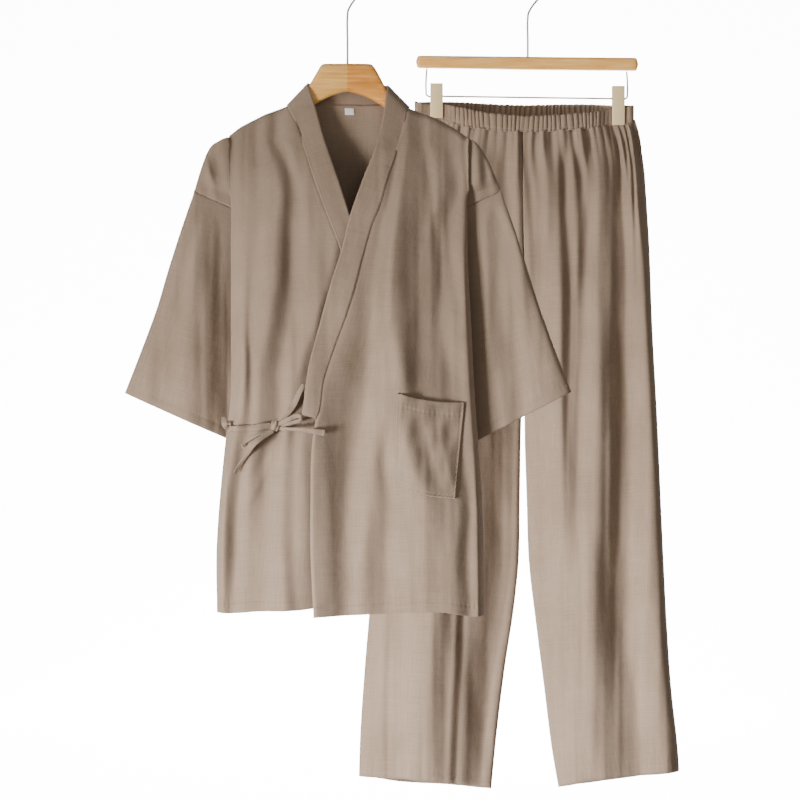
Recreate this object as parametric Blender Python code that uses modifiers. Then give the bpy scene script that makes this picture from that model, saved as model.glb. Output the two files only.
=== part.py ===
"""A kimono pyjama set: a wrap jacket on a wooden hanger, and elastic-waist trousers on a clip
hanger behind it. Metres, +Z up, X to the viewer's right, Y away from the viewer. The origin is
the inside top of the jacket hanger's hook, where it rests on its rail. Tables are in
millimetres, and "drop" is the distance down from that rail."""

import math

import bmesh
import bpy
import numpy as np

MM = 0.001
WALL = 1.6  # cloth wall
SEAM = 0.3  # gap between pieces that are sewn together
SIDE_SEAM = 0.45  # half of the gap where the rounded sides of the jacket meet
LAP = 5.0  # the upper front lies this far in front of the lower one
TROUSER_PLANE = 130.0  # the trousers hang this far behind the jacket's hanger
COLOURS = {
    "cloth": (0.30, 0.235, 0.185, 1.0),
    "wood": (0.74, 0.44, 0.19, 1.0),
    "steel": (0.60, 0.57, 0.52, 1.0),
    "label": (0.86, 0.84, 0.78, 1.0),
}


class Table:
    """Rows of sizes under named columns, read at any value of the first column along a smooth
    cubic through the rows."""

    def __init__(self, columns, *rows):
        self.names = columns.split()
        self.rows = np.array(rows, float)

    def at(self, name, place):
        xs = self.rows[:, 0]
        ys = self.rows[:, self.names.index(name)]
        slope = np.gradient(ys, xs)
        i = np.clip(np.searchsorted(xs, place) - 1, 0, len(xs) - 2)
        span = xs[i + 1] - xs[i]
        t = np.clip((place - xs[i]) / span, 0, 1)
        return (
            (1 + 2 * t) * (1 - t) ** 2 * ys[i]
            + t * (1 - t) ** 2 * span * slope[i]
            + t * t * (3 - 2 * t) * ys[i + 1]
            + t * t * (t - 1) * span * slope[i + 1]
        )


def fade(x):
    """0 below 0, 1 above 1, and a smooth step between them."""
    t = np.clip(x, 0, 1)
    return t * t * (3 - 2 * t)


# Jacket body: its side edges seen from the front, and how far its middle stands out before
# and behind the hanger.
BODY = Table(
    "drop left right front back tuck",
    (224, -166, 169, 24, 18, 0),
    (274, -166, 169, 32, 24, 9),
    (332, -166, 171, 40, 30, 15),
    (399, -166, 172, 46, 34, 15),
    (496, -166, 177, 52, 38, 15),
    (594, -167, 182, 56, 40, 15),
    (663, -175, 187, 58, 42, 13),
    (733, -181, 191, 60, 43, 6),
    (802, -185, 193, 62, 44, 4),
    (892, -184, 194, 62, 44, 3),
)
SHOULDER = Table(
    "x drop",
    (-166, 224), (-152, 213), (-136, 204), (-120, 196), (-100, 188), (-84, 182),
    (-45, 158), (0, 150), (45, 158),
    (86, 185), (102, 191), (129, 202), (147, 212), (169, 227),
)  # fmt: skip
UNDER_SEAM = Table(
    "drop x",
    (182, -84), (203, -74), (238, -62), (275, -50), (315, -36), (358, -19), (413, 1),
    (485, 22), (555, 40), (617, 51), (890, 56),
)  # fmt: skip
OVER_SEAM = Table(
    "drop x",
    (187, 86), (215, 79), (252, 68), (284, 57), (322, 46), (352, 34), (394, 22), (437, 11),
    (479, -2), (514, -15), (541, -24), (567, -32), (604, -37), (619, -42), (640, -46),
    (733, -50), (800, -50), (894, -46),
)  # fmt: skip
UNDER_HEM = Table("x drop", (-190, 888), (-171, 890), (-124, 887), (-56, 884), (-24, 879), (80, 879))
OVER_HEM = Table("x drop", (-55, 895), (4, 892), (44, 890), (135, 888), (185, 894), (200, 891))
BACK_HEM = Table("x drop", (-190, 886), (0, 884), (200, 887))
ARMHOLE = 12.0  # half of the armhole's width from front to back
RIM_GAP = 0.95  # half of the gap where front and back meet along the shoulder
RIM = 11.0  # roundness of the cloth over the hanger's arm
HANG = 9.0  # cloth to the hanger's middle plane, just below the shoulder line
DRAPE = 70.0  # how soon the cloth leaves the hanger's arm
TUCK_REACH = 165.0

PANEL_ROWS = (
    0, 0.012, 0.035, 0.07, 0.112, 0.138, 0.164, 0.23, 0.31, 0.4, 0.51, 0.63, 0.75, 0.88, 1,
)  # fmt: skip
BACK_ROWS = (0, 0.012, 0.035, 0.07, 0.112, 0.138, 0.164, 0.28, 0.5, 0.75, 1)

# The largest folds, as soft ridges (height over 0) and troughs (under 0) that lean.
UNDER_FOLDS = Table(
    "top bottom x_top x_bottom width height",
    (250, 640, -147, -152, 12, 5),
    (330, 690, -84, -126, 13, -8),
    (260, 600, -106, -120, 10, 4),
    (500, 830, -126, -166, 10, -9),
    (400, 1000, -40, -74, 26, 6),
    (225, 420, -74, -62, 9, -4),
)
OVER_FOLDS = Table(
    "top bottom x_top x_bottom width height",
    (230, 620, 76, 46, 12, 6),
    (500, 930, 48, 8, 13, 6),
    (300, 680, 98, 88, 16, -6),
    (230, 560, 98, 152, 9, 4),
    (600, 1000, 96, 130, 18, 6),
    (640, 1000, 60, 40, 14, -5),
    (420, 900, -20, -28, 18, -3),
)
BACK_FOLDS = Table(
    "top bottom x_top x_bottom width height",
    (260, 1000, -110, -128, 16, 6),
    (260, 1000, -62, -56, 20, -5),
    (300, 1000, -8, 4, 18, 5),
    (260, 1000, 58, 66, 20, -5),
    (260, 1000, 112, 132, 16, 6),
)

# Collar: the seam on the fronts and the free edge, pair by pair, from the lower end of the
# under front, round the neck, to the lower end of the upper front.
COLLAR = Table(
    "step seam_x seam_drop edge_x edge_drop neck_y on_front",
    (0, 51, 617, 76, 617, 0, 1),
    (1, 40, 555, 66, 558, 0, 1),
    (2, 22, 485, 47, 485, 0, 1),
    (3, 1, 413, 28, 410, 0, 1),
    (4, -19, 358, 8, 350, 0, 1),
    (5, -36, 315, -7, 303, 0, 1),
    (6, -50, 275, -20, 264, 0, 1),
    (7, -62, 238, -33, 226, 0, 1),
    (8, -74, 203, -44, 186, -14, 0.5),
    (9, -82, 188, -52, 161, -11, 0),
    (10, -85, 181, -55, 150, 0, 0),
    (11, -82, 182, -53, 150, 11, 0),
    (12, -66, 184, -44, 150, 14, 0),
    (13, 0, 184, 0, 149, 15, 0),
    (14, 66, 186, 44, 151, 14, 0),
    (15, 83, 185, 54, 153, 11, 0),
    (16, 87, 184, 56, 153, 0, 0),
    (17, 84, 192, 54, 166, -11, 0),
    (18, 79, 215, 50, 197, -14, 0.6),
    (19, 68, 252, 39, 242, 0, 1),
    (20, 57, 284, 26, 275, 0, 1),
    (21, 46, 322, 13, 310, 0, 1),
    (22, 34, 352, 2, 344, 0, 1),
    (23, 22, 394, -8, 386, 0, 1),
    (24, 11, 437, -22, 430, 0, 1),
    (25, -2, 479, -34, 474, 0, 1),
    (26, -15, 514, -45, 515, 0, 1),
    (27, -24, 541, -52, 544, 0, 1),
    (28, -32, 567, -56, 567, 0, 1),
    (29, -37, 604, -60, 600, 0, 1),
    (30, -42, 619, -62, 614, 0, 1),
)
COLLAR_LAP_FROM = 13.0  # the step at the back of the neck, where the collar's two ways part
POCKET = {"left": (69, 584, 67, 710), "right": (163, 597, 150, 730), "sag": 5.0, "lift": 3.0}
LABEL = {"left": -4.0, "right": 9.0, "top": 185.0, "bottom": 194.5, "lift": 2.0}

# Sleeves: the outer edge with the inner edge beside it, row by row from the shoulder down.
SHOULDER_ROWS = {
    -1: Table(
        "row outer_x outer_drop inner_drop",
        (0, -178, 229, 229), (1, -190, 237, 247), (2, -198, 250, 268), (3, -206, 272, 296),
        (4, -215, 302, 329),
    ),
    1: Table(
        "row outer_x outer_drop inner_drop",
        (0, 180, 233, 231), (1, 191, 247, 249), (2, 199, 262, 270), (3, 207, 281, 298),
        (4, 215, 301, 329),
    ),
}  # fmt: skip
SLEEVE_ROWS = {
    -1: Table(
        "row outer_x outer_drop inner_x inner_drop depth",
        (0, -215, 302.8, -155, 328.6, 3), (1, -232, 352, -162, 380, 12),
        (2, -250, 408, -163, 436, 17), (3, -268, 468, -163, 500, 19),
        (4, -291, 530, -164, 580, 20), (5, -312, 584, -167, 651, 20),
    ),
    1: Table(
        "row outer_x outer_drop inner_x inner_drop depth",
        (0, 215, 301.8, 160, 328.6, 3), (1, 233, 352, 167, 380, 12),
        (2, 251, 408, 170, 436, 17), (3, 270, 468, 174, 500, 19),
        (4, 292, 528, 178, 580, 20), (5, 313, 582, 181, 653, 20),
    ),
}  # fmt: skip
SLEEVE_CREST = 203.0  # the sleeve's surface turns away inside this distance from the middle

# Ties: ribbons that lie on the front, with their middle line, width, and lift off the cloth.
TIES = {
    "tie_side": Table(
        "step x drop width lift",
        (0, -172, 617, 7, 18), (1, -170, 627, 8, 27), (2, -163, 633, 8, 9), (3, -150, 633, 8, 4),
        (4, -131, 632, 8, 4), (5, -117, 630, 9, 5), (6, -107.3, 629, 8, 6),
    ),
    "tie_front": Table(
        "step x drop width lift",
        (0, -60, 572, 5, 1), (1, -66, 584, 7, 3), (2, -72, 597, 8, 4), (3, -80, 609, 8, 5),
        (4, -94, 622, 6, 6.5),
    ),
    "bow_loop_right": Table(
        "step x drop width lift",
        (0, -93.3, 627, 5, 8), (1, -80, 620, 6, 9), (2, -70, 616, 6, 9), (3, -64, 616, 5, 7),
        (4, -64, 621, 5, 5), (5, -72, 624, 5, 4.5), (6, -92.6, 630, 4, 4.5),
    ),
    "bow_end_right": Table(
        "step x drop width lift",
        (0, -93.8, 634, 4, 6), (1, -70, 634, 4, 9), (2, -50, 636, 6, 11), (3, -30, 639, 9, 10),
    ),
    "bow_loop_left": Table(
        "step x drop width lift",
        (0, -105, 636, 4.5, 3.8), (1, -124, 641.6, 5, 3.8), (2, -137, 649, 5, 4), (3, -145, 656, 4, 5),
        (4, -139, 660, 4, 7.5), (5, -130, 654, 5, 8), (6, -105, 638, 4, 8),
    ),
    "bow_end_down": Table(
        "step x drop width lift",
        (0, -103, 639.3, 6, 10.5), (1, -118, 646, 7, 12), (2, -129, 655, 7, 12), (3, -137, 667, 5, 8),
        (4, -147, 681, 5, 6), (5, -156, 695, 3, 5),
    ),
}  # fmt: skip
KNOT = {"x": -100.0, "drop": 630.0, "lift": 5.9, "half": (7.0, 4.6, 7.5)}

# Trousers: the elastic waistband held by its two clips, and the legs.
BAND = Table(
    "x front_top front_low back_top back_low depth_front depth_back",
    (94, 166, 189, 164, 188, 0, 0),
    (99, 167, 190, 165, 189, 4.5, 4.5),
    (114, 169, 191, 165, 190, 3.2, 3.2),
    (138, 169, 192, 165, 190, 3.2, 3.2),
    (153, 173, 198, 165, 191, 10, 8),
    (193, 182, 206, 167, 193, 20, 14),
    (253, 188, 210, 169, 195, 23, 16),
    (313, 185, 207, 168, 194, 20, 14),
    (360, 180, 202, 169, 194, 10, 8),
    (375, 176, 199, 170, 194, 3.2, 3.2),
    (399, 173, 195, 170, 193, 3.2, 3.2),
    (406, 172, 194, 170, 193, 4.5, 4.5),
    (410, 171, 192, 170, 192, 0, 0),
)
BAND_GATHERS = 72
BAND_GATHER = 1.3
CLIP_X = (126.0, 387.0)
CROTCH = 493.0
CENTRE = Table("drop x", (190, 249.5), (344, 249.5), (493, 253), (624, 250), (1160, 250))
CENTRE_SEAM = 0.4  # half of the gap between the two legs at the centre seams
LEGS = {
    "left": Table(
        "drop inner outer front back",
        (190, 264, 94, 23, 16), (240, 264, 81, 30, 25), (344, 263, 68, 40, 34),
        (493, 256, 58, 44, 38), (624, 249, 48, 44, 38), (737, 247, 40, 42, 36),
        (830, 245, 33, 40, 35), (888, 239, 30, 38, 34), (974, 226, 23, 35, 32),
        (1080, 213, 16, 33, 30), (1152, 206, 14, 32, 30),
    ),
    "right": Table(
        "drop inner outer front back",
        (190, 264, 410, 23, 16), (206, 264, 415, 25, 20), (240, 264, 421, 30, 25),
        (344, 263, 430, 40, 34), (493, 256, 436, 44, 38), (624, 251, 443, 44, 38),
        (737, 254, 448, 42, 36), (823, 257, 452, 40, 35), (920, 268, 457, 38, 34),
        (1006, 279, 463, 35, 32), (1100, 291, 473, 33, 30), (1152, 300, 476, 32, 30),
    ),
}  # fmt: skip
LEG_HEMS = {
    "left": Table("share front back", (0, 1150, 1152), (0.3, 1142, 1149), (0.6, 1135, 1147), (1, 1134, 1134)),
    "right": Table("share front back", (0, 1149, 1150), (0.25, 1138, 1147), (0.6, 1132, 1138), (1, 1125, 1126)),
}
LEG_FOLDS = {
    "left": Table(
        "top bottom x_top x_bottom width height",
        (240, 1150, 216, 190, 16, -6), (230, 900, 180, 150, 14, 6), (230, 700, 140, 120, 14, -6),
        (700, 1150, 120, 108, 26, 6),
    ),
    "right": Table(
        "top bottom x_top x_bottom width height",
        (215, 760, 300, 306, 9, 7), (215, 620, 322, 318, 9, -6), (215, 1010, 352, 346, 12, 8),
        (215, 1100, 380, 374, 15, -9), (215, 900, 410, 420, 10, 5),
    ),
}  # fmt: skip
LEG_GATHERS = 16
LEG_GATHER = 2.4
LEG_ROWS = (0, 0.015, 0.045, 0.09, 0.15, 0.22, 0.29, 0.36, 0.5, 0.68, 0.86, 1)

# Hangers
HANGER = Table(
    "x top bottom half",
    (-150, 215.6, 226, 4), (-136, 207.7, 222, 5.5), (-110, 196.1, 211, 6), (-86, 188.4, 203, 5.6),
    (-66, 178, 191, 7.5), (-54, 160, 185, 8), (-46, 143, 181, 8), (-38, 127, 176, 8.5),
    (-30, 123, 171, 9), (0, 123, 164, 10),
    (30, 123, 171, 9), (38, 127, 176, 8.5), (46, 144, 181, 8), (54, 160, 186, 8),
    (66, 179, 192, 7.5), (86, 188.8, 204, 6), (110, 197.8, 213, 6), (138, 210.5, 225, 5.5),
    (152, 218.8, 230, 4),
)  # fmt: skip
BAR = Table(
    "x top bottom half",
    (96, 102, 114, 6), (100, 99, 117, 8.5), (250, 100.5, 119.5, 9), (412, 102, 121, 8.5),
    (416, 105, 118, 6),
)  # fmt: skip
WIRE_RADIUS = 1.6
HOOK_RADIUS = 18.5
HOOK_STEM = 50.0  # the stem is straight up to this drop
HOOKS = {"jacket_hook": (0.0, 0.0, 122.6), "trouser_hook": (257.0, TROUSER_PLANE, 100.2)}
HOOK_RISE = {"jacket_hook": 0.0, "trouser_hook": 10.0}
ROD_DROPS = (157.0, 161.0)
ROD_X = (111.0, 400.0)
CLIP_TOPS = (139.0, 142.8)
CLIP_LOW = (189.0, 199.0)
CLIP_WIDTH = 18.0
CLIP_PLATE = 1.6


def material(name, roughness, metallic=0.0):
    made = bpy.data.materials.new(name)
    made.use_nodes = True
    shader = made.node_tree.nodes["Principled BSDF"]
    shader.inputs["Base Color"].default_value = COLOURS[name]
    shader.inputs["Roughness"].default_value = roughness
    shader.inputs["Metallic"].default_value = metallic
    made.diffuse_color = COLOURS[name]
    return made


def new_object(name, points, faces, collection, finish):
    """A mesh object from points in millimetres, (x, y, drop), and faces."""
    points = np.asarray(points, float).reshape(-1, 3) * (MM, MM, -MM)
    mesh = bpy.data.meshes.new(name)
    mesh.from_pydata(points.tolist(), [], faces)
    work = bmesh.new()
    work.from_mesh(mesh)
    bmesh.ops.recalc_face_normals(work, faces=work.faces)
    work.to_mesh(mesh)
    work.free()
    mesh.shade_smooth()
    mesh.materials.append(finish)
    obj = bpy.data.objects.new(name, mesh)
    collection.objects.link(obj)
    return obj


def grid_faces(rows, columns, closed=False):
    """Quads of a grid; a closed one joins its last column to its first."""
    last = columns if closed else columns - 1
    return [
        (
            r * columns + c,
            (r + 1) * columns + c,
            (r + 1) * columns + (c + 1) % columns,
            r * columns + (c + 1) % columns,
        )
        for r in range(rows - 1)
        for c in range(last)
    ]


def cloth(name, grid, closed=False, wall=WALL):
    """A cloth wall: an open grid of points with its thickness from Solidify."""
    rows, columns = grid.shape[:2]
    obj = new_object(name, grid, grid_faces(rows, columns, closed), garment, cloth_finish)
    thick = obj.modifiers.new("Wall", "SOLIDIFY")
    thick.thickness = wall * MM
    thick.offset = 0.0
    return obj


def fold_height(folds, x, drop):
    """Sum of the folds' heights: each is a bell across x and fades in and out along the drop."""
    total = np.zeros(np.broadcast(x, drop).shape)
    for top, bottom, x_top, x_bottom, width, height in folds.rows:
        t = (drop - top) / (bottom - top)
        middle = x_top + (x_bottom - x_top) * t
        window = fade(t / 0.25) * fade((1 - t) / 0.25)
        total += height * window * np.exp(-(((x - middle) / width) ** 2))
    return total


def body_share(x, drop):
    """Where x lies between the body's sides, from -1 at the left edge to 1 at the right."""
    left = BODY.at("left", drop)
    right = BODY.at("right", drop)
    return np.clip((x - (left + right) / 2) / ((right - left) / 2), -1, 1)


def body_depth(side, share, x, drop):
    """Distance of the front or back cloth from the hanger's plane: round over the shoulder,
    full in the middle, and closing to the side seam, or to the armhole's edge above it."""
    below = np.maximum(drop - SHOULDER.at("drop", x), 0)
    over = np.sqrt(1 - (1 - np.clip(below / RIM, 0, 1)) ** 2)
    leave = 1 - np.exp(-below / DRAPE)
    flank = (1 - share**2) ** 0.25
    arm = 1 + (flank - 1) * fade((drop - 230) / 90)
    depth = HANG * over * arm + (BODY.at(side, drop) - HANG) * leave * flank
    depth = np.hypot(depth, armhole(drop) * np.exp(-(1 - np.abs(share)) / 0.03))
    return np.maximum(depth, RIM_GAP)


def armhole(drop):
    """Half width of the armhole at this drop, and of the side seam's gap below the armpit."""
    opened = np.sqrt(1 - (1 - np.clip((drop - 224) / RIM, 0, 1)) ** 2)
    return ARMHOLE * opened * (1 - fade((drop - 298) / 32)) + SIDE_SEAM


def tucked(x, share, drop):
    """The side seams lie a little inside the edges that show from the front."""
    reach = BODY.at("tuck", drop) * np.exp(-TUCK_REACH * (1 - np.abs(share)))
    return x - np.sign(share) * reach


def under_y(x, drop):
    share = body_share(x, drop)
    y = -body_depth("front", share, x, drop)
    y -= fold_height(UNDER_FOLDS, x, drop) * fade((1 - np.abs(share)) / 0.15)
    hidden = fade((x - OVER_SEAM.at("x", drop) + 42) / 22) * fade((drop - 340) / 50)
    return y + 9.0 * hidden


def over_y(x, drop):
    share = body_share(x, drop)
    y = -body_depth("front", share, x, drop)
    calm = 1 - 0.5 * fade((x - 50) / 25) * fade((180 - x) / 25) * fade((drop - 560) / 40)
    y -= calm * fold_height(OVER_FOLDS, x, drop) * fade((1 - np.abs(share)) / 0.15)
    return y - LAP * (1 - fade((x - 85) / 40)) * fade((drop - SHOULDER.at("drop", x)) / 60)


def back_y(x, drop):
    share = body_share(x, drop)
    y = body_depth("back", share, x, drop)
    return y + fold_height(BACK_FOLDS, x, drop) * fade((1 - np.abs(share)) / 0.15)


def panel(name, surface, hem, edges, columns, rows):
    """A body panel between two edges given as shares of the body, from the shoulder line to
    its hem. Its columns crowd towards the side seams."""
    u, v = np.meshgrid(np.linspace(0, 1, columns), rows)
    drop = 200 + 690 * v
    for _ in range(6):
        share = edges(u, drop)
        middle = (BODY.at("left", drop) + BODY.at("right", drop)) / 2
        x = middle + share * (BODY.at("right", drop) - BODY.at("left", drop)) / 2
        top = np.maximum(SHOULDER.at("drop", x), NECK_TOP.get(name, 0))
        drop = top + (hem.at("drop", x) - top) * v
    y = surface(x, drop)
    return cloth(name, np.stack([tucked(x, share, drop), y, drop], axis=-1))


NECK_TOP = {"jacket_back": 184.6, "front_under": 182.0, "front_over": 185.0}


def crowded(u):
    """Maps 0 to 1 onto itself with its points close together near 0."""
    return 0.35 * u + 0.65 * u * u


def under_edges(u, drop):
    """From the left side seam to the collar's seam."""
    end = np.arccos(-body_share(UNDER_SEAM.at("x", drop) - SEAM, drop))
    return -np.cos(end * crowded(u))


def over_edges(u, drop):
    """From the collar's seam to the right side seam."""
    end = np.arccos(body_share(OVER_SEAM.at("x", drop) + SEAM, drop))
    return np.cos(end * crowded(1 - u))


def back_edges(u, drop):
    return -np.cos(np.pi * (0.3 * u + 0.7 * u * u * (3 - 2 * u)))


def collar(stations=49, across=3):
    """The neckband: one strip from the lower end of the under front, over the shoulder, round
    the back of the neck and down the upper front."""
    step, share = np.meshgrid(
        np.linspace(0, 30, stations), np.linspace(0, 1, across), indexing="ij"
    )
    seam_x = COLLAR.at("seam_x", step)
    edge_x = COLLAR.at("edge_x", step)
    seam_drop = COLLAR.at("seam_drop", step)
    edge_drop = COLLAR.at("edge_drop", step)
    inset = 1.4 / np.hypot(edge_x - seam_x, edge_drop - seam_drop)
    w = inset + (1 - inset) * share
    x = seam_x + (edge_x - seam_x) * w
    drop = seam_drop + (edge_drop - seam_drop) * w
    front = np.where(step < COLLAR_LAP_FROM, under_y(x, drop), over_y(x, drop)) - 0.5
    on_front = np.clip(COLLAR.at("on_front", step), 0, 1)
    y = COLLAR.at("neck_y", step) * (1 - on_front) + front * on_front
    return cloth("collar", np.stack([x, y, drop], axis=-1), wall=2.0)


def pocket(columns=9, rows=8):
    """A patch pocket made from the panel's own points, moved out."""
    u, v = np.meshgrid(np.linspace(0, 1, columns), np.linspace(0, 1, rows))
    left_x, left_top, low_x, left_low = POCKET["left"]
    right_x, right_top, far_x, right_low = POCKET["right"]
    x = (left_x + (right_x - left_x) * u) * (1 - v) + (low_x + (far_x - low_x) * u) * v
    top = left_top + (right_top - left_top) * u + POCKET["sag"] * np.sin(np.pi * u) * 0.5
    low = left_low + (right_low - left_low) * u + POCKET["sag"] * np.sin(np.pi * u)
    drop = top + (low - top) * v
    y = over_y(x, drop) - POCKET["lift"]
    return cloth("pocket", np.stack([x, y, drop], axis=-1))


def neck_label():
    u, v = np.meshgrid(np.linspace(0, 1, 3), np.linspace(0, 1, 3))
    x = LABEL["left"] + (LABEL["right"] - LABEL["left"]) * u
    drop = LABEL["top"] + (LABEL["bottom"] - LABEL["top"]) * v
    y = back_y(x, drop) - LABEL["lift"]
    obj = cloth("neck_label", np.stack([x, y, drop], axis=-1), wall=1.0)
    obj.data.materials[0] = label_finish
    return obj


def drop_shoulder(name, side, columns=13):
    """The stretch of the panels that falls over the shoulder, down to the sleeve's seam: open
    towards the body, round at its outer edge."""
    rows = SHOULDER_ROWS[side]
    k, s = np.meshgrid(np.linspace(0, 4, 6), np.linspace(-1, 1, columns), indexing="ij")
    inner_drop = rows.at("inner_drop", k)
    edge = BODY.at("left" if side < 0 else "right", inner_drop)
    inner_x = edge - side * (BODY.at("tuck", inner_drop) - 1.3)
    w = 1 - np.abs(s) ** 1.6
    x = inner_x + (rows.at("outer_x", k) - inner_x) * w
    drop = inner_drop + (rows.at("outer_drop", k) - inner_drop) * w
    start = np.maximum(armhole(inner_drop + 5) - 3.8, 0.9)
    half = (start + 6.5 * w**1.5) * np.sqrt(1 - w**2.5)
    return cloth(name, np.stack([x, side * half * np.sign(s), drop], axis=-1))


def sleeve(name, side, columns=24, rows=8):
    """A flat tube from the drop shoulder's seam to the open cuff."""
    sizes = SLEEVE_ROWS[side]
    k, s = np.meshgrid(
        np.linspace(0, 5, rows), np.arange(columns) / columns, indexing="ij"
    )
    w = (1 - np.cos(2 * np.pi * s)) / 2
    outer_x = sizes.at("outer_x", k)
    inner_x = sizes.at("inner_x", k)
    x = outer_x + (inner_x - outer_x) * w
    drop = sizes.at("outer_drop", k) + (sizes.at("inner_drop", k) - sizes.at("outer_drop", k)) * w
    crest = np.clip((np.abs(outer_x) - SLEEVE_CREST) / np.abs(inner_x - outer_x), 0.3, 0.7)
    lens = np.sin(np.pi * w ** (np.log(0.5) / np.log(crest)))
    half = sizes.at("depth", k) * np.clip(lens, 0, 1) ** 0.6 + 0.9
    half = np.where((s == 0) | (s == 0.5), 0.0, half)
    y = np.where(s < 0.5, -half, half * 0.8) * np.where(s == 0, 0, 1)
    grid = np.stack([x, y, drop], axis=-1)
    return cloth(name, grid[:, ::-1] if side > 0 else grid, closed=True)


def ribbon(name, sizes, per_step=3):
    """A flat tie along its middle line, on the front cloth."""
    steps = np.linspace(0, len(sizes.rows) - 1, per_step * (len(sizes.rows) - 1) + 1)
    x = sizes.at("x", steps)
    drop = sizes.at("drop", steps)
    along_x = np.gradient(x)
    along_drop = np.gradient(drop)
    length = np.hypot(along_x, along_drop)
    half = sizes.at("width", steps) / 2
    grid = []
    for side in (-1, 1):
        px = x - side * half * along_drop / length
        pd = drop + side * half * along_x / length
        y = tie_ground(x, drop) - sizes.at("lift", steps)
        grid.append(np.stack([px, y, pd], axis=-1))
    return cloth(name, np.stack(grid, axis=1), wall=1.2)


def tie_ground(x, drop):
    """The under front as if nothing covered it."""
    share = body_share(x, drop)
    y = -body_depth("front", share, x, drop)
    return y - fold_height(UNDER_FOLDS, x, drop) * fade((1 - np.abs(share)) / 0.15)


def knot():
    """The bow's knot: a small rounded lump over the ends of the ribbons."""
    x, drop = KNOT["x"], KNOT["drop"]
    y = float(tie_ground(np.array(x), np.array(drop))) - KNOT["lift"]
    mesh = bpy.data.meshes.new("bow_knot")
    lump = bmesh.new()
    bmesh.ops.create_uvsphere(lump, u_segments=14, v_segments=8, radius=MM)
    bmesh.ops.scale(lump, vec=KNOT["half"], verts=lump.verts)
    bmesh.ops.translate(lump, vec=(x * MM, y * MM, -drop * MM), verts=lump.verts)
    lump.to_mesh(mesh)
    lump.free()
    mesh.shade_smooth()
    mesh.materials.append(cloth_finish)
    garment.objects.link(bpy.data.objects.new("bow_knot", mesh))


def leg_depth(name, side, w, x, drop):
    """Half depth of a leg: the band's depth at the waist, then the leg's own, closed at its
    outer side, and at its inner side below the crotch."""
    sizes = LEGS[name]
    opened = 1 - fade((drop - CROTCH + 100) / 100)
    inner = np.sqrt(1 - (1 - w) ** 3)
    own = sizes.at(side, drop) * np.sqrt(1 - w**3.5) * (opened + (1 - opened) * inner)
    band = BAND.at(f"depth_{side}", x)
    share = fade((drop - 195) / 110)
    return band + (own - band) * share


def leg(name, columns=49):
    """One leg with its half of the hips. Its two edges meet the other leg at the centre seams
    and each other at the inseam."""
    sizes = LEGS[name]
    way = 1 if name == "right" else -1
    v, u = np.meshgrid(LEG_ROWS, np.linspace(0, 1, columns), indexing="ij")
    front = u < 0.5
    w = np.sin(np.pi * u)
    hem = np.where(front, LEG_HEMS[name].at("front", w), LEG_HEMS[name].at("back", w))
    drop = 195 + (hem - 195) * v
    for _ in range(4):
        parted = fade((drop - CROTCH + 30) / 60)
        inner = CENTRE.at("x", drop) * (1 - parted) + sizes.at("inner", drop) * parted
        inner += way * (CENTRE_SEAM + 1.0 * fade((drop - CROTCH + 110) / 90))
        outer = sizes.at("outer", drop)
        x = inner + (outer - inner) * w
        top = np.where(front, BAND.at("front_low", x), BAND.at("back_low", x)) + 2 * SEAM
        drop = top + (hem - top) * v
    depth = np.where(
        front, leg_depth(name, "front", w, x, drop), leg_depth(name, "back", w, x, drop)
    )
    flank = np.sqrt(np.clip(depth / 25, 0, 1))
    depth = depth + fold_height(LEG_FOLDS[name], x, drop) * flank * fade((drop - 215) / 60)
    gather = LEG_GATHER * np.exp(-((drop - 195) / 75) ** 2) * fade((drop - 190) / 12)
    depth = depth + gather * np.cos(2 * np.pi * LEG_GATHERS * u) * np.clip(depth / 6, 0, 1)
    depth = np.maximum(depth, 0.55)
    y = TROUSER_PLANE + np.where(front, -depth, depth)
    grid = np.stack([x, y, drop], axis=-1)
    return cloth(f"leg_{name}", grid[:, ::-1] if way > 0 else grid)


def waistband(columns=216):
    """The elastic casing: a ring with gathers all round, sagging between the clips."""
    s = np.arange(columns) / columns
    w = (1 - np.cos(2 * np.pi * s)) / 2
    share = 0.25 * w + 0.75 * (1 - np.abs(1 - 2 * s))
    x = 94.5 + (409.5 - 94.5) * share
    front = s < 0.5
    depth = np.where(front, BAND.at("depth_front", x), BAND.at("depth_back", x))
    free = np.clip((depth - 2.2) / 8, 0.15, 1)
    wave = BAND_GATHER * free * np.cos(2 * np.pi * BAND_GATHERS * s)
    y = np.where(front, -depth - wave, depth + wave)
    top = np.where(front, BAND.at("front_top", x), BAND.at("back_top", x))
    low = np.where(front, BAND.at("front_low", x), BAND.at("back_low", x)) - SEAM
    rows = [
        np.stack([x, TROUSER_PLANE + y * bulge, top + (low - top) * level], axis=-1)
        for level, bulge in ((0, 0.96), (0.5, 1.03), (1, 0.96))
    ]
    return cloth("waistband", np.stack(rows), closed=True, wall=1.6)


def bar_of(name, sizes, plane, sides=12):
    """A wooden bar lofted along x: rounded sections between its top and bottom edges."""
    xs = sizes.rows[:, 0]
    angle = np.arange(sides) * 2 * math.pi / sides
    sections = []
    for x, top, bottom, half in sizes.rows:
        across = np.sign(np.cos(angle)) * np.abs(np.cos(angle)) ** 0.6
        up = np.sign(np.sin(angle)) * np.abs(np.sin(angle)) ** 0.6
        middle = (top + bottom) / 2
        sections.append(
            np.stack(
                [np.full(sides, x), plane + half * across, middle - (bottom - top) / 2 * up],
                axis=-1,
            )
        )
    faces = grid_faces(len(xs), sides, closed=True)
    faces.append(tuple(range(sides)))
    faces.append(tuple(len(xs) * sides - 1 - i for i in range(sides)))
    return new_object(name, np.stack(sections), faces, garment, wood_finish)


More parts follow.
